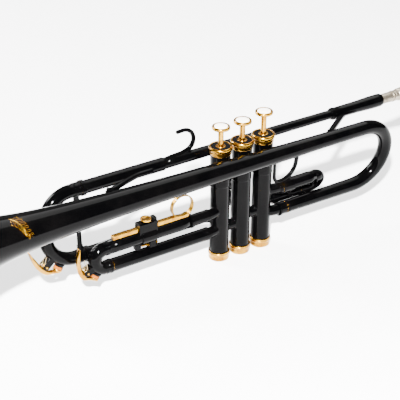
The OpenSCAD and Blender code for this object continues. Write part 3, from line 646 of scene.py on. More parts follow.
def makeLeadpipe():
    pipes = Pipework("leadpipe_tube", 0.6)
    wide = leadpipe["radius"] + (leadpipe["back"] - leadpipe["front"]) * leadpipe["growth"]
    pipes.run(straight(at(leadAxis, leadpipe["front"]), at(leadAxis, leadpipe["back"]), 12)
              + [at(leadAxis, leadpipe["back"] + 3)],
              [wide + (leadpipe["radius"] - wide) * k / 12 for k in range(13)] + [leadpipe["radius"]])
    own(pipes.piece, "horn", "black_lacquer", "leadpipe")
    s = leadpipe["receiverStart"]
    e = leadpipe["receiverEnd"]
    receiver = turnedShell("receiver_sleeve", [
        (4.6, s), (5.2, s), (5.5, s + 0.5), (5.5, s + 1.5), (5.3, s + 1.8), (5.3, s + 2.2),
        (6.3, s + 2.5), (6.3, s + 4.0), (5.85, s + 4.5), (5.95, s + 18), (6.1, s + 33.4),
        (6.2, s + 38), (6.35, s + 41.4), (6.5, s + 44.8), (6.62, s + 47.4), (6.7, s + 50.2),
        (6.75, s + 52), (6.75, e - 4.6), (6.68, e - 3), (6.4, e - 1.6), (5.95, e - 0.6),
        (5.4, e - 0.1), (5.11, e), (5.11, e - 1), (4.45, e - 26), (4.6, e - 26.4)],
        leadAxis, "X", 64, 0.1)
    own(receiver, "horn", "black_lacquer", "mouthpiece_receiver")


def makeFixedTubes():
    pipes = Pipework("tuning_outer_tubes", tube["wall"])
    for axis, start, narrow in ((leadAxis, -77.0, 5.5), (lowAxis, leadpipe["lowStart"], tube["elbow"])):
        span = start - leadpipe["tuningX"]
        pipes.turned(at(axis, start), -alongX, [
            (-0.6, narrow - 0.1), (0, narrow + 0.1), (0.5, tube["outer"] - 0.25), (1.2, tube["outer"]),
            (6.0, tube["outer"]), (6.2, tube["outer"] - 0.14), (6.6, tube["outer"] - 0.14),
            (6.8, tube["outer"]), (span - 0.4, tube["outer"]), (span, tube["outer"] - 0.2)], 0.2)
    own(pipes.piece, "horn", "black_lacquer", "tuning_fixed_tubes")
    rings = Pipework("tube_end_rings", 0.45)
    for axis in (leadAxis, lowAxis):
        ferrule(rings, axis, leadpipe["tuningX"], leadpipe["tuningX"] + 4, leadpipe["endRing"])
    ferrule(rings, thirdLow, -149.6, -147, tube["ring"])
    ferrule(rings, firstLow, 71, 73.4, tube["ring"])
    rings.turned(at(tailAxis, 39.6), alongX, [
        (0, 5.0), (0.05, 6.5), (0.5, 6.98), (2.4, 6.98), (2.8, 6.5), (3.2, 6.45), (7.6, 6.45),
        (8.0, 6.6), (8.6, 6.6), (8.9, 6.3)], 0.2)
    own(rings.piece, "horn", "black_lacquer", "tube_rings")


def makeBraces():
    brace = Pipework("front_brace_rod")
    path = smoothPath([(-94, 10.2, 109.6), (-108, 8.2, 110.8), (-122.5, 1.9, 112.5),
                       (-137, -5.2, 114.0), (-150.5, -10.4, 114.4)], 14)
    brace.stem(path, (2.6, 2.6), (0.4, 1.2), 2.4)
    # foot soldered to the bell, square to its skin
    skin = Vector((0, 0.682, 0.731))
    foot = [at(bellAxis, -150) + skin * s for s in (11.0, 12.2, 12.9, 13.4, 13.9)]
    brace.stem(foot, (4.5, 4.1))
    own(brace.piece, "horn", "black_lacquer", "front_brace")
    rear = Pipework("rear_brace_rod")
    rear.stem(straight((131.4, 12.6, 107.3), (94, -15.0, 109.8), 40), (2.9, 2.9), (0.5, 0.4), 1.5)
    own(rear.piece, "horn", "black_lacquer", "rear_brace")


makeLeadpipe()
makeFixedTubes()
makeBraces()
print("leadpipe and braces made")

# ---- little-finger hook ----

pinky = {
    "x": -55.0,
    "z": 127.0,
    "size": 11.0,
    "wire": 2.1,
    "footStart": -73.5,
    "footEnd": -48.4,
    "footZ": 114.5,
}


def makePinkyHook():
    hook = Pipework("little_finger_hook", 0, 28)
    centre = Vector((pinky["x"], leadAxis.y, pinky["z"]))
    z = pinky["footZ"]
    path = [Vector((-58.5, leadAxis.y, z + 0.1)), Vector((-55.5, leadAxis.y, z + 0.4))]
    path += arc(centre, alongX * pinky["size"], alongZ * pinky["size"], -75, 90, 40)
    top = pinky["z"] + pinky["size"]
    path += [Vector((pinky["x"] - 3, leadAxis.y, top + 0.1)),
             Vector((pinky["x"] - 6.5, leadAxis.y, top - 0.3))]
    path = smoothPath(path[::3] + [path[-1]], 6)
    sizes = [pinky["wire"] + 0.2 * math.cos(math.pi * k / len(path)) for k in range(len(path))]
    points, radii = rounded(path, sizes)
    hook.run(points, radii)
    # foot that lies along the leadpipe, thin at its front end
    foot = straight((pinky["footStart"], leadAxis.y, z), (pinky["footEnd"], leadAxis.y, z + 0.4), 24)
    sizes = [1.0 + 1.35 * math.sin(math.pi * min(1, 0.12 + 0.62 * k / 24)) for k in range(25)]
    points, radii = rounded(foot, sizes, 6)
    hook.run(points, radii)
    own(hook.piece, "horn", "black_lacquer", "pinky_hook")


makePinkyHook()
print("hook made")

# ---- caps, buttons and pearls ----

caps = {
    "topRadius": 11.3,
    "bottomRadius": 10.4,
    "bottomHeight": 9.3,
    "stemRadius": 2.62,
    "buttonRadius": 8.6,
    "pearlRadius": 6.3,
    "sides": 96,
}


def makeCaps():
    t, r = capTop, caps["topRadius"]
    tops, inserts, bottoms = [], [], []
    b, h = caps["bottomRadius"], caps["bottomHeight"]
    for n in (3, 2, 1):
        spot = (valveX[n], 0, 0)
        tops.append(turnedShell("top_cap_rings", [
            (2.72, t - 3.4), (2.72, t - 0.3), (3.0, t), (4.3, t), (4.65, t - 0.12), (4.8, t - 0.45),
            (4.8, t - 1.3), (9.0, t - 1.3), (9.0, t - 0.6), (9.2, t - 0.2), (9.65, t),
            (10.1, t - 0.03), (10.6, t - 0.25), (11.0, t - 0.65), (11.22, t - 1.2), (r, t - 1.9),
            (11.26, t - 2.6), (11.1, t - 3.3), (10.8, t - 3.9), (10.45, t - 4.3), (10.3, t - 4.5),
            (10.38, t - 4.75), (10.4, t - 5.2), (10.28, 113.6), (10.05, 112.9), (9.8, 112.62),
            (9.3, 112.62), (9.3, 117), (8.5, 117), (8.5, t - 3.4)], spot, "Z", caps["sides"], 0.1))
        inserts.append(turnedShell("cap_disc", [
            (4.8, t - 1.3), (4.8, t - 0.6), (5.0, t - 0.52), (6.6, t - 0.6), (8.8, t - 0.52),
            (8.99, t - 0.6), (8.99, t - 1.3)], spot, "Z", 72, 0.05))
        bottoms.append(turnedShell("bottom_cap_cups", [
            (0, 1.2), (6.0, 1.0), (6.2, 0.15), (6.6, 0), (8.2, 0), (8.9, 0.14), (9.4, 0.5), (9.78, 1.0),
            (9.95, 1.7), (10.0, 2.6), (10.0, 5.35), (10.06, 5.75), (10.28, 6.05), (b, 6.35),
            (b, h - 1.75), (b - 0.16, h - 1.6), (b - 0.16, h - 1.35), (b, h - 1.2), (b, h - 0.55),
            (b - 0.12, h - 0.2), (b - 0.45, h), (9.3, h), (9.3, 1.6), (0, 1.6)],
            spot, "Z", caps["sides"], 0.1))
    own(joined(*tops), "horn", "gold_trim", "top_caps")
    own(joined(*inserts), "horn", "cap_insert", "cap_inserts")
    own(joined(*bottoms), "horn", "gold_trim", "bottom_caps")


def makeButton(n):
    z = high("pearl_%d" % n).z - 3.8
    s, b, p = caps["stemRadius"], caps["buttonRadius"], caps["pearlRadius"]
    foot = high("piston_%d" % n).z
    button = turnedShell("finger_button_%d" % n, [
        (0, foot - 2.5), (s, foot - 2.5), (s, foot), (4.6, foot), (4.6, foot + 1.6), (s, foot + 2.2),
        (s, z - 3.0), (s, z - 0.5), (2.95, z - 0.2), (4.2, z - 0.02), (6.2, z + 0.06), (7.7, z + 0.12),
        (8.2, z + 0.3), (8.5, z + 0.7), (b, z + 1.2), (b, z + 2.1), (8.5, z + 2.65),
        (8.2, z + 3.05), (7.7, z + 3.3), (7.1, z + 3.34), (6.6, z + 3.2), (p, z + 3.0),
        (p, z + 2.3), (0, z + 2.3)], (valveX[n], 0, 0), "Z", 96, 0.06)
    own(button, "valve_%d" % n, "gold_trim", "button_%d" % n)
    pearl = turnedShell("pearl_disc_%d" % n, [
        (0, z + 2.32), (p - 0.02, z + 2.32), (p - 0.02, z + 2.95), (p - 0.15, z + 3.12),
        (p - 0.5, z + 3.28), (5.2, z + 3.46), (4.4, z + 3.6), (3.2, z + 3.72), (1.6, z + 3.78),
        (0, z + 3.8)], (valveX[n], 0, 0), "Z", 96, 0)
    own(pearl, "valve_%d" % n, "pearl", "pearl_%d" % n)


makeCaps()
for n in (1, 2, 3):
    makeButton(n)
print("caps and buttons made")

# ---- solder round the valve ports ----

solder = {
    "tubeRadius": tube["elbow"],
    "casingRadius": middle("valve_casings").y + 9.3,
    "reachUp": 1.5,
    "reachOut": 1.2,
    "around": 56,
    "strips": 6,
    "lowKnuckle": 33.0,
    "highKnuckle": 39.5,
    # an elbow leaves its casing straight for the lead, then bends on one arc up to its end
    "elbowLead": 3.0,
    "elbowEnd": 15.1,
    "longElbowEnd": 27.0,
}


def addFillet(bm, centre, outward):  # strip between a casing and the tube that leaves its axis at centre
    side = Vector((-outward.y, outward.x, 0))
    rows = []
    big = solder["casingRadius"]
    for k in range(solder["around"]):
        t = 2 * math.pi * k / solder["around"]

        def onCasing(radius):
            across = max(-big * 0.98, min(big * 0.98, math.cos(t) * radius))
            return Vector((across, math.sin(t) * radius, math.sqrt(big * big - across * across)))

        corner = onCasing(solder["tubeRadius"] - 0.05)
        foot = onCasing(solder["tubeRadius"] + solder["reachOut"])
        foot.z -= 0.03
        top = Vector((corner.x, corner.y, corner.z + solder["reachUp"]))
        section = []
        for j in range(solder["strips"] + 1):
            u = j / solder["strips"]
            section.append(top.lerp(corner, u).lerp(corner.lerp(foot, u), u))
        section.append(Vector((corner.x, corner.y, corner.z - 0.3)))
        rows.append([bm.verts.new((centre + side * spot.x + alongZ * spot.y + outward * spot.z) * mm)
                     for spot in section])
    addSkin(bm, rows, True)


def elbowWay(axis, end, sign):  # direction in which an elbow's bend crosses the casing
    big = solder["casingRadius"]
    y = abs(axis.y)
    bend = (end * end + y * y - solder["elbowLead"] ** 2) / (2 * y)
    d = math.hypot(end, y - bend)
    angle = math.atan2(y - bend, end) + math.acos((big ** 2 + d ** 2 - bend ** 2) / (2 * big * d))
    return Vector((math.cos(angle) * sign, math.sin(angle) * (1 if axis.y > 0 else -1), 0))


def makeSolder():
    bm = bmesh.new()
    lower, upper = solder["lowKnuckle"], solder["highKnuckle"]
    for n, z, way in ((3, lower, alongX), (2, lower, -alongX), (2, upper, alongX), (1, upper, -alongX),
                      (2, secondLowZ, alongY), (2, secondUpZ, alongY)):
        addFillet(bm, Vector((valveX[n], 0, z)), way)
    end = solder["elbowEnd"]
    for n, axis, stop, sign in (
            (3, lowAxis, solder["longElbowEnd"], -1), (3, thirdUp, end, -1), (3, thirdLow, end, -1),
            (1, firstUp, end, 1), (1, firstLow, end, 1), (1, tailAxis, end, 1)):
        addFillet(bm, Vector((valveX[n], 0, axis.z)), elbowWay(axis, stop, sign))
    own(meshPiece("solder_fillets", bm), "horn", "black_lacquer")


makeSolder()
print("solder made")

# ---- thin brass seams where tubes meet ----

seams = {
    "wire": 0.08,
    "places": (
        (firstUp, 44.0, 6.36), (firstLow, 73.42, 6.5), (tailAxis, 48.5, 6.42), (thirdLow, -146.9, 6.4),
    ),
}


def makeSeams():
    lines = Pipework("brass_seams", 0, 8)
    for axis, x, size in seams["places"]:
        lines.run(arc(at(axis, x), alongY * size, alongZ * size, 0, 352.5, 47), seams["wire"], True)
    own(lines.piece, "horn", "gold_trim")


makeSeams()
print("seams made")

# ---- tuning slide ----

crook = {
    "frontX": low("tuning_crook").x,
    "bend": 27.45,
    "ferruleStart": -173.0,
}


def makeTuningCrook():
    pipes = Pipework("tuning_slide_crook", 0.9, 48)
    turnX = crook["frontX"] + tube["outer"] + crook["bend"]
    up = (leadAxis - lowAxis).normalized()
    b = crook["bend"]
    lowCorner = at(lowAxis, turnX) + up * b
    highCorner = at(leadAxis, turnX) - up * b
    path = straight(at(lowAxis, crook["ferruleStart"] + 0.4), at(lowAxis, turnX), 3)[:-1]
    path += arc(lowCorner, -up * b, -alongX * b, 0, 90, 30)
    path += arc(highCorner, -alongX * b, up * b, 0, 90, 30)
    path += straight(at(leadAxis, turnX), at(leadAxis, crook["ferruleStart"] + 0.4), 3)[1:]
    pipes.run(path, tube["outer"])
    for axis in (leadAxis, lowAxis):
        pipes.turned(at(axis, crook["ferruleStart"]), alongX, [
            (0, 5.95), (0.03, 6.35), (0.45, 6.66), (1.3, 6.7), (2.3, 6.7), (2.5, 6.58), (4.8, 6.58),
            (5.0, 6.7), (7.0, 6.7), (7.35, 6.5), (7.42, 5.96)], 0.12)
    own(pipes.piece, "tuning_slide", "black_lacquer", "tuning_crook")
    stay = Pipework("tuning_slide_stay", 0, 36)
    x = crook["ferruleStart"] + 3.2
    foot = Vector((x, lowAxis.y + 0.45, lowAxis.z + 5.6))
    head = Vector((x, leadAxis.y - 0.45, leadAxis.z - 5.6))
    length = (head - foot).length
    profile = [(0, 3.0), (1.0, 3.0), (1.5, 2.86), (3.4, 2.75), (4.4, 2.9), (4.9, 2.9), (5.3, 2.3)]
    profile += [(length / 2 - 3, 2.12), (length / 2, 2.05), (length / 2 + 3, 2.12)]
    profile += [(length - a, r) for a, r in reversed(profile[:7])]
    stay.turned(foot, (head - foot).normalized(), profile, 0.25)
    own(stay.piece, "tuning_slide", "black_lacquer", "tuning_stay")


makeTuningCrook()
print("tuning crook made")

# ---- third slide ----

third = {
    "turnX": -154.0,
    "openX": -59.0,
    "elbowX": -39.6,
    "barStart": -145.4,
    "barEnd": -63.4,
    "ringX": -70.0,
    "ringZ": 72.3,
    "ringRadius": 12.0,
    "screwX": -109.5,
    "stopZ": 43.6,
    "nutRadius": 2.2,
    # the finger ring is slit where it meets the bar, in degrees
    "slitAngle": 128.0,
    "halfSlit": 0.8,
}


def makeThirdSlide():
    fixed = Pipework("third_fixed_pipes", 0.36)
    t, e = third["turnX"], third["elbowX"]
    fixed.turned(at(thirdUp, e), -alongX, [
        (0, tube["elbow"]), (0.25, tube["elbow"] + 0.1), (0.6, tube["inner"]),
        (e - t - 9.3, tube["inner"]), (e - t - 9, tube["inner"] - 0.2)], 0.1)
    fixed.turned(at(thirdLow, e), -alongX, [
        (0, tube["elbow"]), (0.3, tube["outer"] - 0.5), (1.0, tube["outer"]), (5.0, tube["outer"]),
        (5.2, tube["outer"] - 0.13), (5.6, tube["outer"] - 0.13), (5.8, tube["outer"]),
        (e - t - 4.8, tube["outer"]), (e - t - 4.4, tube["outer"] - 0.2)], 0.15)
    own(fixed.piece, "horn", "black_lacquer", "third_fixed_tubes")
    sliding = Pipework("third_sliding_pipe", 0.34)
    sliding.run(straight(at(thirdUp, t + 3.6), at(thirdUp, third["openX"] - 0.3), 6), tube["outer"])
    ferrule(sliding, thirdUp, third["openX"] - 3, third["openX"], 6.75, 6.1)
    own(sliding.piece, "third_slide", "black_lacquer", "third_sliding_tube")
    bow = Pipework("third_slide_crook", 0.85)
    spread = (thirdUp - thirdLow) / 2
    centre = at((thirdUp + thirdLow) / 2, t)
    bow.run([at(thirdLow, t + 1)] + arc(centre, -spread, -alongX * spread.length, 0, 180, 40)
            + [at(thirdUp, t + 1)], tube["outer"])
    for axis in (thirdUp, thirdLow):
        bow.turned(at(axis, t), alongX, [
            (0, 5.97), (0.03, 6.35), (0.4, 6.66), (1.0, 6.7), (1.2, 6.6), (2.6, 6.6), (2.8, 6.7),
            (3.9, 6.66), (4.3, 6.4), (4.34, 5.99)], 0.1)
    own(bow.piece, "third_slide", "black_lacquer", "third_crook")
    legs = Pipework("third_slide_leg", 1.1)
    legs.run(straight(at(thirdLow, t + 3.6), at(thirdLow, -78), 4), tube["inner"])
    own(legs.piece, "third_slide", "slide_leg")


def makeStops():
    posts = bmesh.new()
    y = thirdUp.y
    addSlab(posts, [(-107, 39.6), (-99, 39.6), (-99.6, 41.2), (-99.6, 45.2), (-100.4, 46.3),
                    (-105.6, 46.3), (-106.4, 45.2), (-106.4, 41.2)], y - 2.2, y + 2.2)
    own(softEdges(meshPiece("stop_post", posts), 0.5), "horn", "black_lacquer")
    lug = bmesh.new()
    addSlab(lug, [(-123, 47.8), (-115, 47.8), (-115.8, 45.6), (-116, 42.4), (-117, 41.0), (-121, 41.0),
                  (-122, 42.4), (-122.2, 45.6)], y - 2.2, y + 2.2)
    own(softEdges(meshPiece("stop_lug", lug), 0.5), "third_slide", "black_lacquer")
    screw = Pipework("stop_screw_rod", 0, 24)
    grooves = []
    for k in range(16):
        grooves += [(4.0 + k * 0.42, 1.0), (4.2 + k * 0.42, 1.1)]
    z = third["stopZ"]
    screw.turned((-114.5, y, z), alongX, [(0, 0.3), (0.15, 0.9), (0.5, 1.1), (3.6, 1.1)] + grooves
                 + [(11.2, 1.1), (16.6, 1.1), (16.95, 0.85), (17, 0.3)], 0.02)
    own(screw.piece, "horn", "gold_trim", "stop_screw")
    nuts = bmesh.new()
    size = third["nutRadius"]
    corners = [math.radians(60 * k) for k in range(6)]
    for start, stop in ((-109.2, -107.0), (-99.0, -97.6)):
        addSkin(nuts, [[nuts.verts.new(Vector((x, y + size * math.cos(t), z + size * math.sin(t))) * mm)
                        for t in corners] for x in (start, stop)])
    own(softEdges(meshPiece("stop_screw_nuts", nuts), 0.2), "horn", "gold_trim")


def makeRingBar():
    y = thirdUp.y
    base, top = low("ring_bar").z, high("ring_bar").z
    s, e = third["barStart"], third["barEnd"]
    bar = bmesh.new()
    addSlab(bar, [(s, base), (e - 1.5, base), (e, base + 1.0), (e, top - 0.5), (e - 2.2, top - 0.05),
                  (e - 4, top - 0.75), (-70, top - 1.1), (-74, top - 0.6), (-77.5, top), (s + 0.6, top),
                  (s, top - 0.6)], y - 2.4, y + 2.4)
    piece = softEdges(meshPiece("sliding_ring_bar", bar), 0.55)
    own(piece, "ring_bar", "gold_trim", "ring_bar")
    ring = bmesh.new()
    section = [(-2.4, -0.42), (-2.05, 0.02), (2.05, 0.02), (2.4, -0.42), (2.15, -1.15), (0, -1.3),
               (-2.15, -1.15)]
    rows = []
    for k in range(97):
        t = math.radians(third["slitAngle"] + third["halfSlit"] + (360 - 2 * third["halfSlit"]) * k / 96)
        size = third["ringRadius"] - 0.05 - (0.25 if k < 4 else 0.0)
        rows.append([ring.verts.new(Vector((
            third["ringX"] + math.cos(t) * (size + r), y + w,
            third["ringZ"] + math.sin(t) * (size + r))) * mm) for w, r in section])
    addSkin(ring, rows)
    band = softEdges(meshPiece("finger_ring_band", ring), 0.16, 2)
    own(band, "ring_bar", "gold_trim", "finger_ring", finish="ring_gold")


def makeSaddle():
    y = thirdUp.y
    base = thirdUp.z
    saddle = bmesh.new()
    # two cheeks along the bar, a roof over it and the raised lug behind the screw
    for side in (-1, 1):
        near, far = sorted((y + side * 2.75, y + side * 4.6))
        addSlab(saddle, [(-118.5, base + 3.2), (-99, base + 3.2), (-99, 67.2), (-99.6, 68.4),
                         (-101.0, 69.0), (-103.2, 68.9), (-104, 68.0), (-118.5, 68.0)], near, far)
    addSlab(saddle, [(-118.5, 64.8), (-111.6, 64.8), (-111.6, 69.0), (-118.5, 69.0)], y - 3.0, y + 3.0)
    addSlab(saddle, [(-107.4, 64.8), (-99, 64.8), (-99, 70.6), (-99.7, 71.6), (-102.4, 71.6),
                     (-103.2, 70.4), (-103.6, 69.0), (-107.4, 69.0)], y - 3.0, y + 3.0)
    piece = softEdges(meshPiece("saddle_block", saddle), 0.45)
    own(piece, "third_slide", "black_lacquer", "bar_saddle")
    sleeve = Pipework("saddle_sleeve", 1.1)
    sleeve.turned(at(thirdUp, -116.5), alongX, [
        (0, 6.5), (0.1, 7.2), (0.5, 7.55), (15.5, 7.55), (15.9, 7.2), (16, 6.5)], 0.3)
    own(sleeve.piece, "third_slide", "black_lacquer")
    screw = turnedShell("ring_stop_screw", [
        (0, 64.75), (1.0, 64.75), (1.35, 65.1), (1.35, 69.5), (4.5, 69.5), (5.0, 69.62), (5.3, 70.05),
        (5.3, 71.35), (5.2, 71.65), (4.95, 71.8), (4.5, 71.8), (4.2, 71.66), (4.05, 71.2), (1.6, 71.0),
        (0, 70.95)], (third["screwX"], y, 0), "Z", 64, 0.05)
    slot = bmesh.new()
    addBox(slot, (third["screwX"] - 3.3, y - 0.42, 70.5), (third["screwX"] + 3.3, y + 0.42, 73))
    cutter = meshPiece("slot_cutter", slot)
    cut = screw.modifiers.new("slot", "BOOLEAN")
    cut.object = cutter
    cut.solver = "EXACT"
    applied(screw)
    bpy.data.objects.remove(cutter)
    own(screw, "thumb_screw", "gold_trim", "thumb_screw")


makeThirdSlide()
makeStops()
makeRingBar()
makeSaddle()
print("third slide made")

# ---- first slide, thumb hook and second slide ----

first = {
    "turnX": 84.0,
    "elbowX": 39.6,
    "bossX": 58.8,
    "hookY": -6.5,
}


def makeFirstSlide():
    fixed = Pipework("first_fixed_pipes", 0.36)
    e = first["elbowX"]
    fixed.turned(at(firstUp, e), alongX, [
        (0, tube["elbow"]), (0.25, tube["elbow"] + 0.1), (0.6, tube["inner"]), (41.1, tube["inner"]),
        (41.4, tube["inner"] - 0.2)], 0.1)
    fixed.turned(at(firstLow, e), alongX, [
        (0, tube["elbow"]), (0.3, tube["outer"] - 0.5), (1.0, tube["outer"]), (3.0, tube["outer"]),
        (3.2, tube["outer"] - 0.13), (3.6, tube["outer"] - 0.13), (3.8, tube["outer"]),
        (33.4, tube["outer"]), (33.8, tube["outer"] - 0.2)], 0.15)
    own(fixed.piece, "horn", "black_lacquer", "first_fixed_tubes")
    boss = turnedShell("lyre_boss", [
        (0, 0.2), (2.62, 0.2), (2.62, 2.5), (2.5, 2.85), (2.25, 3.0), (1.55, 3.0), (1.35, 2.85),
        (1.35, 2.3), (0, 2.2)], (0, 0, 0), "Z", 40, 0.08)
    boss.data.transform(Matrix.Translation(Vector((first["bossX"], firstLow.y - 5, firstLow.z + 1.3)) * mm)
                        @ Matrix.Rotation(math.radians(90), 4, "X"))
    own(boss, "horn", "black_lacquer")
    sliding = Pipework("first_sliding_pipe", 0.34)
    sliding.run(straight(at(firstUp, 43), at(firstUp, first["turnX"]), 6), tube["outer"])
    ferrule(sliding, firstUp, 41.2, 43.6, 6.75, 6.1)
    own(sliding.piece, "first_slide", "black_lacquer", "first_sliding_tube")
    bow = Pipework("first_slide_crook", 0.85)
    spread = (firstUp - firstLow) / 2
    centre = at((firstUp + firstLow) / 2, first["turnX"])
    bow.run([at(firstLow, 77)] + arc(centre, -spread, alongX * spread.length, 0, 180, 40), tube["outer"])
    bow.turned(at(firstLow, 73.46), alongX, [
        (0, 5.95), (0.05, 6.5), (0.4, 6.72), (1.6, 6.74), (1.8, 6.62), (2.6, 6.62), (2.8, 6.74),
        (3.5, 6.7), (3.81, 6.5), (3.84, 6.3)], 0.1)
    own(bow.piece, "first_slide", "black_lacquer", "first_crook")
    leg = Pipework("first_slide_leg", 1.1)
    leg.run(straight(at(firstLow, 47), at(firstLow, 74.6), 4), tube["inner"])
    own(leg.piece, "first_slide", "slide_leg")


def makeThumbHook():
    hook = Pipework("thumb_hook_bow", 0, 28)
    y = first["hookY"]
    path = straight((34.6, y, 88.0), (34.6, y, 73.7), 16)[:-1]
    path += arc((41.1, y, 73.7), Vector((-6.5, 0, 0)), Vector((0, 0, -6.5)), 0, 90, 20)[:-1]
    path += arc((41.1, y, 86.7), Vector((0, 0, -19.5)), Vector((19.5, 0, 0)), 0, 84, 40)[:-1]
    path += straight((60.5, y, 84.7), (61.0, y, 88.0), 6)
    count = len(path)
    sizes = [1.5 + 0.65 * min(1, k / count * 1.6) for k in range(count)]
    points, radii = rounded(path, sizes)
    hook.run(points, radii)
    own(hook.piece, "first_slide", "black_lacquer", "thumb_hook")
    base = Pipework("thumb_hook_saddle", 1.0)
    base.turned(at(firstUp, 44.5), alongX, [
        (0, 6.4), (0.1, 6.9), (0.5, 7.3), (12.5, 7.3), (12.9, 6.9), (13, 6.4)], 0.3)
    own(base.piece, "first_slide", "black_lacquer")


def makeSecondSlide():
    fixed = Pipework("second_fixed_pipes", 0.36)
    for z in (secondLowZ, secondUpZ):
        fixed.turned((0, 0, z), alongY, [
            (13.0, 5.3), (13.1, 5.8), (13.4, 6.25), (13.9, 6.35), (21.3, 6.35), (21.6, 6.85), (23.6, 6.88),
            (23.95, 6.6), (24, 6.35)], 0.12)
    own(fixed.piece, "horn", "black_lacquer", "second_fixed_tubes")
    bow = Pipework("second_slide_bow", 0.9)
    half = (secondUpZ - secondLowZ) / 2
    centre = Vector((0, 27, (secondUpZ + secondLowZ) / 2))
    bow.run([Vector((0, 26.5, secondLowZ))] + arc(centre, alongZ * -half, alongY * half, 0, 180, 40)
            + [Vector((0, 26.5, secondUpZ))], tube["outer"])
    for z in (secondLowZ, secondUpZ):
        bow.turned((0, 0, z), alongY, [
            (24.9, 5.9), (24.95, 6.5), (25.2, 6.68), (26.7, 6.68), (26.95, 6.5), (27, 6.3)], 0.1)
        bow.run(straight((0, 16, z), (0, 25.2, z), 3), tube["inner"] - 0.02)
    own(bow.piece, "second_slide", "black_lacquer", "second_slide")


makeFirstSlide()
makeThumbHook()
makeSecondSlide()
print("first and second slide made")

# ---- water keys ----

keys = {
    "cheekRadius": 3.3,
    "leverWidth": 5.6,
    "leverEdge": 0.75,
    "leverBelly": 5.4,
    "leverTuck": 1.7,
    "coilRadius": 2.05,
    "wire": 0.3,
}
# places in the slide's middle plane: x and z, with the springs' angles and ends measured from the pin
keyPlaces = {
    "tuning_key": {
        "slide": "tuning_slide",
        "pin": (-206.5, 45.0),
        "way": -118.5,
        "nippleHeight": 1.4,
        "lever": [(-190.7, 34.4), (-198.5, 36.2), (-205.3, 38.3), (-212.1, 45.3), (-217.6, 54.6),
                  (-222.0, 63.2)],
        "ear": (-207.5, 40.5),
        "coilStart": (-1.3, 1.58),
        "coilStop": (-2.0, -0.45),
        "longLeg": (1.2, 9.0),
        "shortLeg": (-4.4, 4.3),
    },
    "third_key": {
        "slide": "third_slide",
        "pin": (-173.3, 35.4),
        "way": -123.5,
        "nippleHeight": 1.0,
        "lever": [(-162.6, 23.2), (-169.8, 27.8), (-175.2, 30.4), (-179.0, 38.0), (-180.6, 48),
                  (-180.0, 61.2)],
        "ear": (-176.4, 32.4),
        "coilStart": (1.0, 1.79),
        "coilStop": (-2.05, 0.1),
        "longLeg": (-0.4, 11.2),
        "shortLeg": (-3.2, 8.4),
    },
}


def makeKeySeat(name, slide, pin, centre, lift):  # black cheeks either side of the pin
    cheek = bmesh.new()
    towards = centre - pin
    reach = towards.length - lift + 2.5
    size = keys["cheekRadius"]
    lean = Matrix.Rotation(-math.atan2(towards.z, towards.x), 4, "Y")
    outline = []
    for k in range(13):
        a = math.radians(90 + 180 * k / 12)
        outline.append((size * math.cos(a), size * math.sin(a)))
    outline += [(reach, -3.0), (reach, 3.0)]
    for side in (-1, 1):
        addSlab(cheek, outline, side * 3.6 - 0.6, side * 3.6 + 0.6)
    for v in cheek.verts:
        v.co = pin * mm + lean @ v.co
    own(softEdges(meshPiece(name + "_cheeks", cheek), 0.35), slide, "black_lacquer", name + "_seat")


def makeKeyCork(name, slide, pin, centre, outward, start, tall):  # nipple, cork, cup and barrel
    nipple = Pipework(name + "_nipple", 0, 40)
    nipple.turned(centre, outward, [
        (start - 1.2, 4.9), (start - 0.6, 4.88), (start + 0.05, 4.6), (start + tall - 0.35, 4.45),
        (start + tall - 0.05, 4.2), (start + tall, 1.7), (start + tall - 0.6, 1.5)], 0.15)
    own(nipple.piece, slide, "black_lacquer")
    cork = Pipework(name + "_cork_plug", 0, 40)
    a = start + tall + 0.05
    cork.turned(centre, outward, [
        (a, 3.6), (a + 0.1, 4.05), (a + 0.5, 4.28), (a + 2.3, 4.3), (a + 2.6, 4.2),
        (a + 2.7, 3.6)], 0.15)
    own(cork.piece, name, "key_cork", name + "_cork")
    cup = Pipework(name + "_cup", 0, 40)
    a += 2.74
    cup.turned(centre, outward, [
        (a, 4.35), (a + 0.05, 4.5), (a + 0.35, 4.62), (a + 1.4, 4.6), (a + 1.75, 4.3),
        (a + 1.94, 3.2), (a + 1.96, 0.05)], 0.15)
    cup.turned(pin - alongY * 5, alongY, [
        (0, 0.05), (0.02, 0.8), (0.25, 1.0), (2.2, 1.0), (2.3, 1.5), (2.6, 1.55), (4.0, 1.55),
        (4.3, 1.45), (5.7, 1.45), (6.0, 1.55), (7.4, 1.55), (7.7, 1.5), (7.8, 1.0), (9.75, 1.0),
        (9.98, 0.8), (10, 0.05)], 0.08)
    own(cup.piece, name, "gold_trim", name + "_lever")


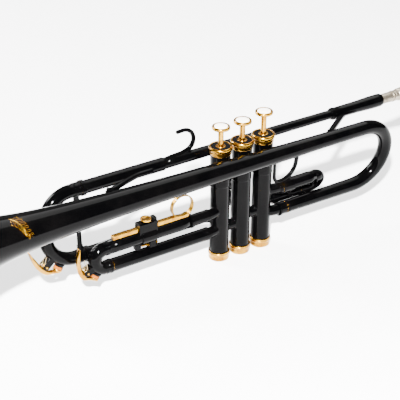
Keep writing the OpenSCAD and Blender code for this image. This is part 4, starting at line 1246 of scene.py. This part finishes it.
def makeKeyLever(name, pin, path, ear):  # bent lever, deepest in its middle, and its ear on the pin
    line = smoothPath([Vector((x, pin.y, z)) for x, z in path], 8)
    lever = bmesh.new()
    rows = []
    total = len(line) - 1
    for k, spot in enumerate(line):
        ahead = (line[min(k + 1, total)] - line[max(k - 1, 0)]).normalized()
        normal = Vector((-ahead.z, 0, ahead.x))
        share = k / total
        width = keys["leverWidth"] / 2 * (0.70 + 0.30 * abs(2 * share - 0.9) ** 1.6)
        if share > 0.97:
            width *= 0.86
        if share < 0.03:
            width *= 0.8
        belly = math.sin(math.pi * share)
        thick = (keys["leverEdge"] + keys["leverBelly"] * belly ** 0.8) / 2
        spot = spot + normal * (thick - keys["leverEdge"] - keys["leverTuck"] * belly)
        rows.append([lever.verts.new((spot + alongY * width * w + normal * thick * h) * mm)
                     for w, h in ((-1, -0.35), (-0.55, -0.85), (0.55, -0.85), (1, -0.35), (1, 0.35),
                                  (0.5, 0.72), (-0.5, 0.72), (-1, 0.35))])
    addSkin(lever, rows)
    tip = Vector((ear[0], pin.y, ear[1]))
    across = Vector((pin.z - tip.z, 0, tip.x - pin.x)).normalized()
    addSkin(lever, [[lever.verts.new((spot + across * w * c + alongY * 0.9 * d) * mm)
                     for c, d in ((-1, -1), (1, -1), (1, 1), (-1, 1))]
                    for spot, w in ((pin, 1.6), (tip, 1.9))])
    own(softEdges(meshPiece(name + "_lever_strip", lever), 0.18, 2), name, "gold_trim")


def makeKeySpring(name, slide, pin, place):  # coils either side of the barrel, with a leg at each end
    wire = Pipework(name + "_spring_wire", 0, 10)
    (startX, startZ), (stopX, stopZ) = place["coilStart"], place["coilStop"]
    begin = math.atan2(startZ, startX)
    sweep = (math.atan2(stopZ, stopX) - begin) % (2 * math.pi) + 2 * math.pi
    r = keys["coilRadius"]
    for side in (-1, 1):
        turns = []
        for k in range(49):
            t = begin + sweep * k / 48
            away = side * (2.55 - 0.85 * k / 48)
            turns.append(pin + Vector((r * math.cos(t), away, r * math.sin(t))))
        head = pin + Vector((place["longLeg"][0], side * 1.6, place["longLeg"][1]))
        tail = pin + Vector((place["shortLeg"][0], side * 1.7, place["shortLeg"][1]))
        wire.run([head, head.lerp(turns[0], 0.5), *turns, tail.lerp(turns[-1], 0.5), tail], keys["wire"])
    own(wire.piece, slide, "key_spring", name + "_spring")


def makeKeys():
    bows = {  # middle of the bend that each key sits on, and the bend's outer radius
        "tuning_key": (at(lowAxis, crook["frontX"] + tube["outer"] + crook["bend"])
                       + alongZ * crook["bend"], crook["bend"] + tube["outer"]),
        "third_key": (at((thirdUp + thirdLow) / 2, third["turnX"]),
                      (thirdUp.z - thirdLow.z) / 2 + tube["outer"]),
    }
    for name, (centre, lift) in bows.items():
        place = keyPlaces[name]
        slide = place["slide"]
        pin = Vector((place["pin"][0], centre.y, place["pin"][1]))
        t = math.radians(place["way"])
        outward = Vector((math.cos(t), 0, math.sin(t)))
        makeKeySeat(name, slide, pin, centre, lift)
        makeKeyCork(name, slide, pin, centre, outward, lift, place["nippleHeight"])
        makeKeyLever(name, pin, place["lever"], place["ear"])
        makeKeySpring(name, slide, pin, place)


makeKeys()
print("keys made")

# ---- mouthpiece ----


def makeMouthpiece():
    e = high("mouthpiece").x
    cup = turnedShell("mouthpiece_body", [
        (4.0, 160), (4.45, 160), (5.03, 184.5), (5.32, 196.6), (5.36, 198.1), (5.66, 198.4), (5.7, 198.7),
        (5.7, 199.7), (5.62, 200.0), (5.42, 200.3), (5.4, 201.6), (5.58, 201.8), (5.58, 202.2),
        (5.42, 202.4), (5.5, 205.0), (5.62, 205.6), (6.2, 206.1), (6.34, 206.6), (6.38, e - 44),
        (6.5, e - 41), (6.85, e - 38), (7.4, e - 35), (8.3, e - 32), (9.4, e - 29), (10.6, e - 25),
        (11.6, e - 21), (12.3, e - 16.5), (12.55, e - 12), (12.35, e - 8.6), (12.02, e - 6.2),
        (12.02, e - 5.2), (12.3, e - 4.4), (12.9, e - 3.6), (13.3, e - 2.7), (13.38, e - 1.7),
        (13.15, e - 0.8), (12.6, e - 0.25), (11.9, e - 0.03), (11.2, e), (10.4, e - 0.2),
        (9.6, e - 0.75), (8.8, e - 1.7), (8.3, e - 2.9), (8.05, e - 5.4), (7.6, e - 8.4),
        (6.6, e - 11), (5.2, e - 13.2), (3.6, e - 15), (2.4, e - 16.6), (1.87, e - 17.8), (1.86, e - 20),
        (2.6, 190)], leadAxis, "X", 80, 0.08)
    own(cup, "mouthpiece", "silver_plate", "mouthpiece")


makeMouthpiece()
print("mouthpiece made")

# ---- camera, floor and light ----

camera = {
    # degrees, millimetres, and the focal length in widths of the sensor
    "azimuth": -34.118,
    "elevation": 28.893,
    "roll": 0.589,
    "distance": 1282.343,
    "target": (-47.073, 0.0, 69.938),
    "focal": 3.41753,
    "sensor": 36.0,
}


def makeCamera():
    a = math.radians(camera["azimuth"])
    e = math.radians(camera["elevation"])
    roll = math.radians(camera["roll"])
    back = Vector((math.sin(a) * math.cos(e), -math.cos(a) * math.cos(e), math.sin(e)))
    side = Vector((math.cos(a), math.sin(a), 0.0))
    rise = back.cross(side)
    right = side * math.cos(roll) + rise * math.sin(roll)
    up = rise * math.cos(roll) - side * math.sin(roll)
    data = bpy.data.cameras.new("camera")
    data.sensor_width = camera["sensor"]
    data.lens = camera["sensor"] * camera["focal"]
    data.clip_start = 0.05
    data.clip_end = 50.0
    eye = bpy.data.objects.new("camera", data)
    spot = (Vector(camera["target"]) + back * camera["distance"]) * mm
    eye.matrix_world = Matrix.Translation(spot) @ Matrix((right, up, back)).transposed().to_4x4()
    bpy.context.scene.collection.objects.link(eye)
    bpy.context.scene.camera = eye


studio = {
    "floor": colour(0.90, 0.90, 0.90),
    "floorShade": colour(0.87, 0.87, 0.87),
    "floorLow": (-1.6, -0.62),
    "floorHigh": (1.8, 1.9),
    "skyStrength": 0.7,
    "skyWay": (0.45, 0.45, 0.77),
    # brightness of the surroundings: 0 is away from the bright side, 0.5 square to it, 1 towards it
    "skyStops": ((0.0, 0.02), (0.5, 0.04), (0.82, 0.06), (0.875, 1.0)),
    "lamps": [
        # name, place, width along the tubes, length across them, watts
        ("front_lamp", (-0.93, -1.16, 1.19), 0.06, 0.06, 560),
        ("back_panel", (0.78, 0.43, 1.33), 0.75, 1.2, 30),
        ("far_lamp", (-0.85, 1.55, 1.1), 0.7, 0.7, 130),
    ],
}


def makeFloor():
    paint = Paint("paper", Roughness=0.8, IOR=1.2)
    cloud = paint.noise(40, 4, 0.6)
    paint.feed("Base Color", paint.blend(cloud, studio["floor"], studio["floorShade"]))
    paint.bump(paint.noise(1.5, 3, 0.6), 0.02)
    bm = bmesh.new()
    (x0, y0), (x1, y1) = studio["floorLow"], studio["floorHigh"]
    bm.faces.new([bm.verts.new(p) for p in ((x0, y0, 0), (x1, y0, 0), (x1, y1, 0), (x0, y1, 0))])
    mesh = bpy.data.meshes.new("floor")
    bm.to_mesh(mesh)
    bm.free()
    floor = bpy.data.objects.new("floor", mesh)
    bpy.context.scene.collection.objects.link(floor)
    mesh.materials.append(paint.material)


def makeSky():
    world = bpy.data.worlds.new("studio")
    world.use_nodes = True
    tree = world.node_tree
    facing = tree.nodes.new("ShaderNodeTexCoord")
    towards = tree.nodes.new("ShaderNodeVectorMath")
    towards.operation = "DOT_PRODUCT"
    towards.inputs[1].default_value = Vector(studio["skyWay"]).normalized()
    height = tree.nodes.new("ShaderNodeMath")
    height.operation = "MULTIPLY_ADD"
    height.inputs[1].default_value = 0.5
    height.inputs[2].default_value = 0.5
    ramp = tree.nodes.new("ShaderNodeValToRGB")
    setStops(ramp.color_ramp, studio["skyStops"])
    tree.links.new(facing.outputs["Generated"], towards.inputs[0])
    tree.links.new(towards.outputs["Value"], height.inputs[0])
    tree.links.new(height.outputs[0], ramp.inputs[0])
    tree.links.new(ramp.outputs[0], tree.nodes["Background"].inputs[0])
    tree.nodes["Background"].inputs[1].default_value = studio["skyStrength"]
    bpy.context.scene.world = world


def makeLamps():
    for name, spot, width, length, watts in studio["lamps"]:
        data = bpy.data.lights.new(name, "AREA")
        data.shape = "RECTANGLE"
        data.size = width
        data.size_y = length
        data.energy = watts
        lamp = bpy.data.objects.new(name, data)
        away = Vector(spot).normalized()
        side = (alongX - away * away.x).normalized()
        turn = Matrix((side, away.cross(side), away)).transposed().to_4x4()
        lamp.matrix_world = Matrix.Translation(spot) @ turn
        bpy.context.scene.collection.objects.link(lamp)


makeCamera()
makeFloor()
makeSky()
makeLamps()
print("scene ready")
